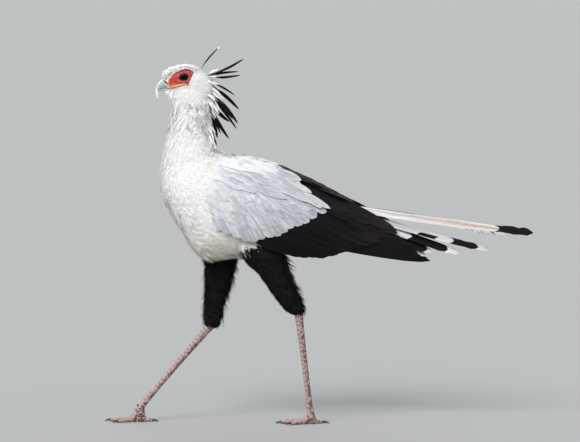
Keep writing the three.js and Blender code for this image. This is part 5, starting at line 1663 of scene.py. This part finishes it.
scale_group, tree, given, result = node_group(
    "leg_scales", {"Size": ("value", 260.0), "Front": ("value", 0.0)}, {"Height": "value", "Cell": "colour"}
)
where = tree.add("ShaderNodeTexCoord", out=3)
scales = tree.tree.nodes.new("ShaderNodeTexVoronoi")
scales.feature = "F1"
tree.put(scales.inputs["Vector"], where)
tree.put(scales.inputs["Scale"], given["Size"])
edges = tree.tree.nodes.new("ShaderNodeTexVoronoi")
edges.feature = "DISTANCE_TO_EDGE"
tree.put(edges.inputs["Vector"], where)
tree.put(edges.inputs["Scale"], given["Size"])
groove = tree.ramp(edges.outputs["Distance"], 0.0, 0.14)
tree.put(result["Height"], tree.math("MULTIPLY", groove, tree.math("SUBTRACT", 1.0, given["Front"])))
tree.put(result["Cell"], scales.outputs["Color"])

leg_skin, tree = shader("leg_skin")
front, step, _ = tree.attribute("paint")
scale = tree.group(scale_group, Size=190.0, Front=front)
cell = tree.add("ShaderNodeSeparateXYZ", i0=scale["Cell"])
pink = tree.blend(tree.ramp(cell, 0.25, 0.8), (0.13, 0.045, 0.05), (0.58, 0.42, 0.41))
place = tree.add("ShaderNodeTexCoord", out=3)
pink = tree.blend(tree.ramp(tree.noise(150.0, 2.0, where=place), 0.46, 0.7), pink, (0.19, 0.085, 0.08))
# Small pale flecks over the scales: painted highlights
pink = tree.blend(tree.ramp(tree.noise(330.0, 2.0, where=place), 0.60, 0.68), pink, (0.80, 0.77, 0.76))
colour = tree.blend(tree.ramp(scale["Height"], 0.6, 0.0), pink, GROOVE)
scute = tree.blend(tree.ramp(tree.noise(90.0, 3.0), 0.35, 0.65), (0.50, 0.385, 0.37), (0.31, 0.19, 0.182))
colour = tree.blend(front, colour, scute)
colour = tree.blend(tree.math("MULTIPLY", step, 0.9), colour, GROOVE)
tree.surface(Base_Color=colour, Roughness=0.55, Specular_IOR_Level=0.35,
             Normal=tree.bump(scale["Height"], 0.8, 0.0007))


def shank_rings(ankle, foot, rows, plates, sides=40):
    """Rings down a leg with scutes raised over the front, the front's share, and the steps between scutes."""
    ankle, foot = np.asarray(ankle, float), np.asarray(foot, float)
    along = unit(foot - ankle)
    side = unit(np.array([0, 1.0, 0]) - along * along[1])
    front = np.cross(along, side)
    front = -front if front[0] > 0 else front
    place = np.linspace(0, 1, plates["count"] * plates["rings"] + 1)
    within = (place * plates["count"]) % 1
    key = mix(rows[0][0], rows[-1][0], place)
    t, deep, wide = read(rows, key).T[..., None]
    turn = 2 * np.pi * np.arange(sides) / sides
    share = smooth((np.cos(turn) + 0.1) / 0.45)
    rise = plates["raised"] * (within[:, None] - 0.25) * share
    middle = ankle + (foot - ankle) * t
    rings = middle[:, None] + front * ((deep + rise) * np.cos(turn))[..., None]
    rings = rings + side * ((wide + rise) * np.sin(turn))[..., None]
    steps = np.where((within[:, None] < 0.1), 1.0, 0.0) * share
    return rings, np.broadcast_to(share, steps.shape), steps


for name, leg in LEGS.items():
    rings, front, steps = shank_rings(leg["ankle"], leg["foot"], TARSUS, SCUTES)
    shank_points, shank_faces = capped(rings)
    shank = mesh_object("shank_" + name, shank_points, shank_faces, leg_skin)
    painted(shank, front, steps)
    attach(shank, "root")
    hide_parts("tarsus_" + name)


# Feet. Short thick toes with plates on top and pads below stand flat on the floor, each with a blunt dark
# claw.
TOES = {"inner": (30, 62, 8.4), "middle": (2, 80, 9.0), "outer": (-27, 66, 8.0), "hind": (184, 30, 7.4)}
CLAW = {"front": 17, "hind": 20, "radius": 4.2}
TOE_PLATES = {"every": 4.6, "raised": 0.7}

claw_horn, tree = shader("claw_horn")
colour = tree.blend(tree.noise(320.0, 3.0), (0.022, 0.017, 0.015), (0.07, 0.055, 0.048))
tree.surface(Base_Color=colour, Roughness=0.32, Normal=tree.bump(tree.noise(500.0, 2.0), 0.2, 0.0004))


def toe_path(name, side, foot, pitch):
    turn, length, thick = TOES[name]
    angle = math.radians(180 - side * turn)
    way = np.array([math.cos(angle), math.sin(angle), 0])
    start = np.array([foot[0], foot[1], 0]) + way * 4
    places = [
        (-0.12, min(foot[2] - 6, 26 + pitch), 1.0, 1.05), (0.12, 13 + pitch, 0.95, 1.0),
        (0.3, thick * 0.9, 0.92, 1.0), (0.5, thick * 0.7, 0.8, 0.86), (0.7, thick * 0.66, 0.78, 0.84),
        (0.88, thick * 0.52, 0.6, 0.66), (1.0, thick * 0.48, 0.48, 0.5),
    ]
    rows = [[*(start + way * length * share + [0, 0, height]), thick * deep, thick * wide]
            for share, height, deep, wide in places]
    return rows, start, way


for name, leg in LEGS.items():
    side, foot, pitch = SIDES[name], np.array(leg["foot"], float), leg["pitch"]
    made = []
    for toe, (_, length, thick) in TOES.items():
        rows, start, way = toe_path(toe, side, foot, pitch)
        plates = int(length / TOE_PLATES["every"])
        rings = limb(rows, plates * 5, 28)
        within = (np.linspace(0, plates, plates * 5 + 1) % 1)[:, None]
        around = np.cos(2 * np.pi * np.arange(28) / 28)
        top = smooth((around + 0.05) / 0.4)
        middle = rings.mean(1, keepdims=True)
        knuckle = 1 + 0.05 * np.sin(np.linspace(0, 3.5, plates * 5 + 1) * 2 * np.pi)[:, None, None]
        rings = middle + (rings - middle) * knuckle
        rings = rings + unit(rings - middle) * (TOE_PLATES["raised"] * (within - 0.3) * top)[..., None]
        rings[..., 2] = np.maximum(rings[..., 2], 0)
        made.append((rings, np.broadcast_to(top, rings.shape[:2]), np.where(within < 0.15, 1.0, 0.0) * top))
        size = CLAW["hind"] if toe == "hind" else CLAW["front"]
        # From root to point: how far past the toe's end, how high and how thick the claw is
        base = CLAW["radius"]
        claw_shape = (
            (-3, thick * 0.5 + 0.6, base * 0.85), (size * 0.15, thick * 0.5 + 1.4, base * 0.86),
            (size * 0.4, thick * 0.5 + 1.2, base * 0.72), (size * 0.75, thick * 0.4, base * 0.45),
            (size, 1.2, 0.5),
        )
        claw_rows = [[*(start + way * (length + ahead) + [0, 0, height]), radius, radius * 0.8]
                     for ahead, height, radius in claw_shape]
        claw = mesh_object(f"claw_{name}_{toe}_horn", *capped(limb(claw_rows, 20, 18, floor_at=0)), claw_horn)
        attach(claw, "root")
        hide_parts(f"claw_{name}_{toe}")
    pad_rows = [
        [foot[0], foot[1], foot[2] + 8, 10.5, 11], [foot[0], foot[1], max(14, foot[2] - 6), 13.5, 13.5],
        [foot[0] - 2, foot[1], 6, 14, 13], [foot[0] - 2, foot[1], 0.2, 12, 11.5],
    ]
    pad = limb(pad_rows, 24, 28, floor_at=0)
    made.append((pad, np.zeros(pad.shape[:2]), np.zeros(pad.shape[:2])))
    toes = mesh_object("toes_" + name, *joined([capped(rings) for rings, _, _ in made]), leg_skin)
    # Each limb's two end points have no plates
    front, steps = (np.concatenate([np.append(part[i], [0, 0]) for part in made]) for i in (1, 2))
    painted(toes, front, steps)
    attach(toes, "root")
    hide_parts("foot_" + name)
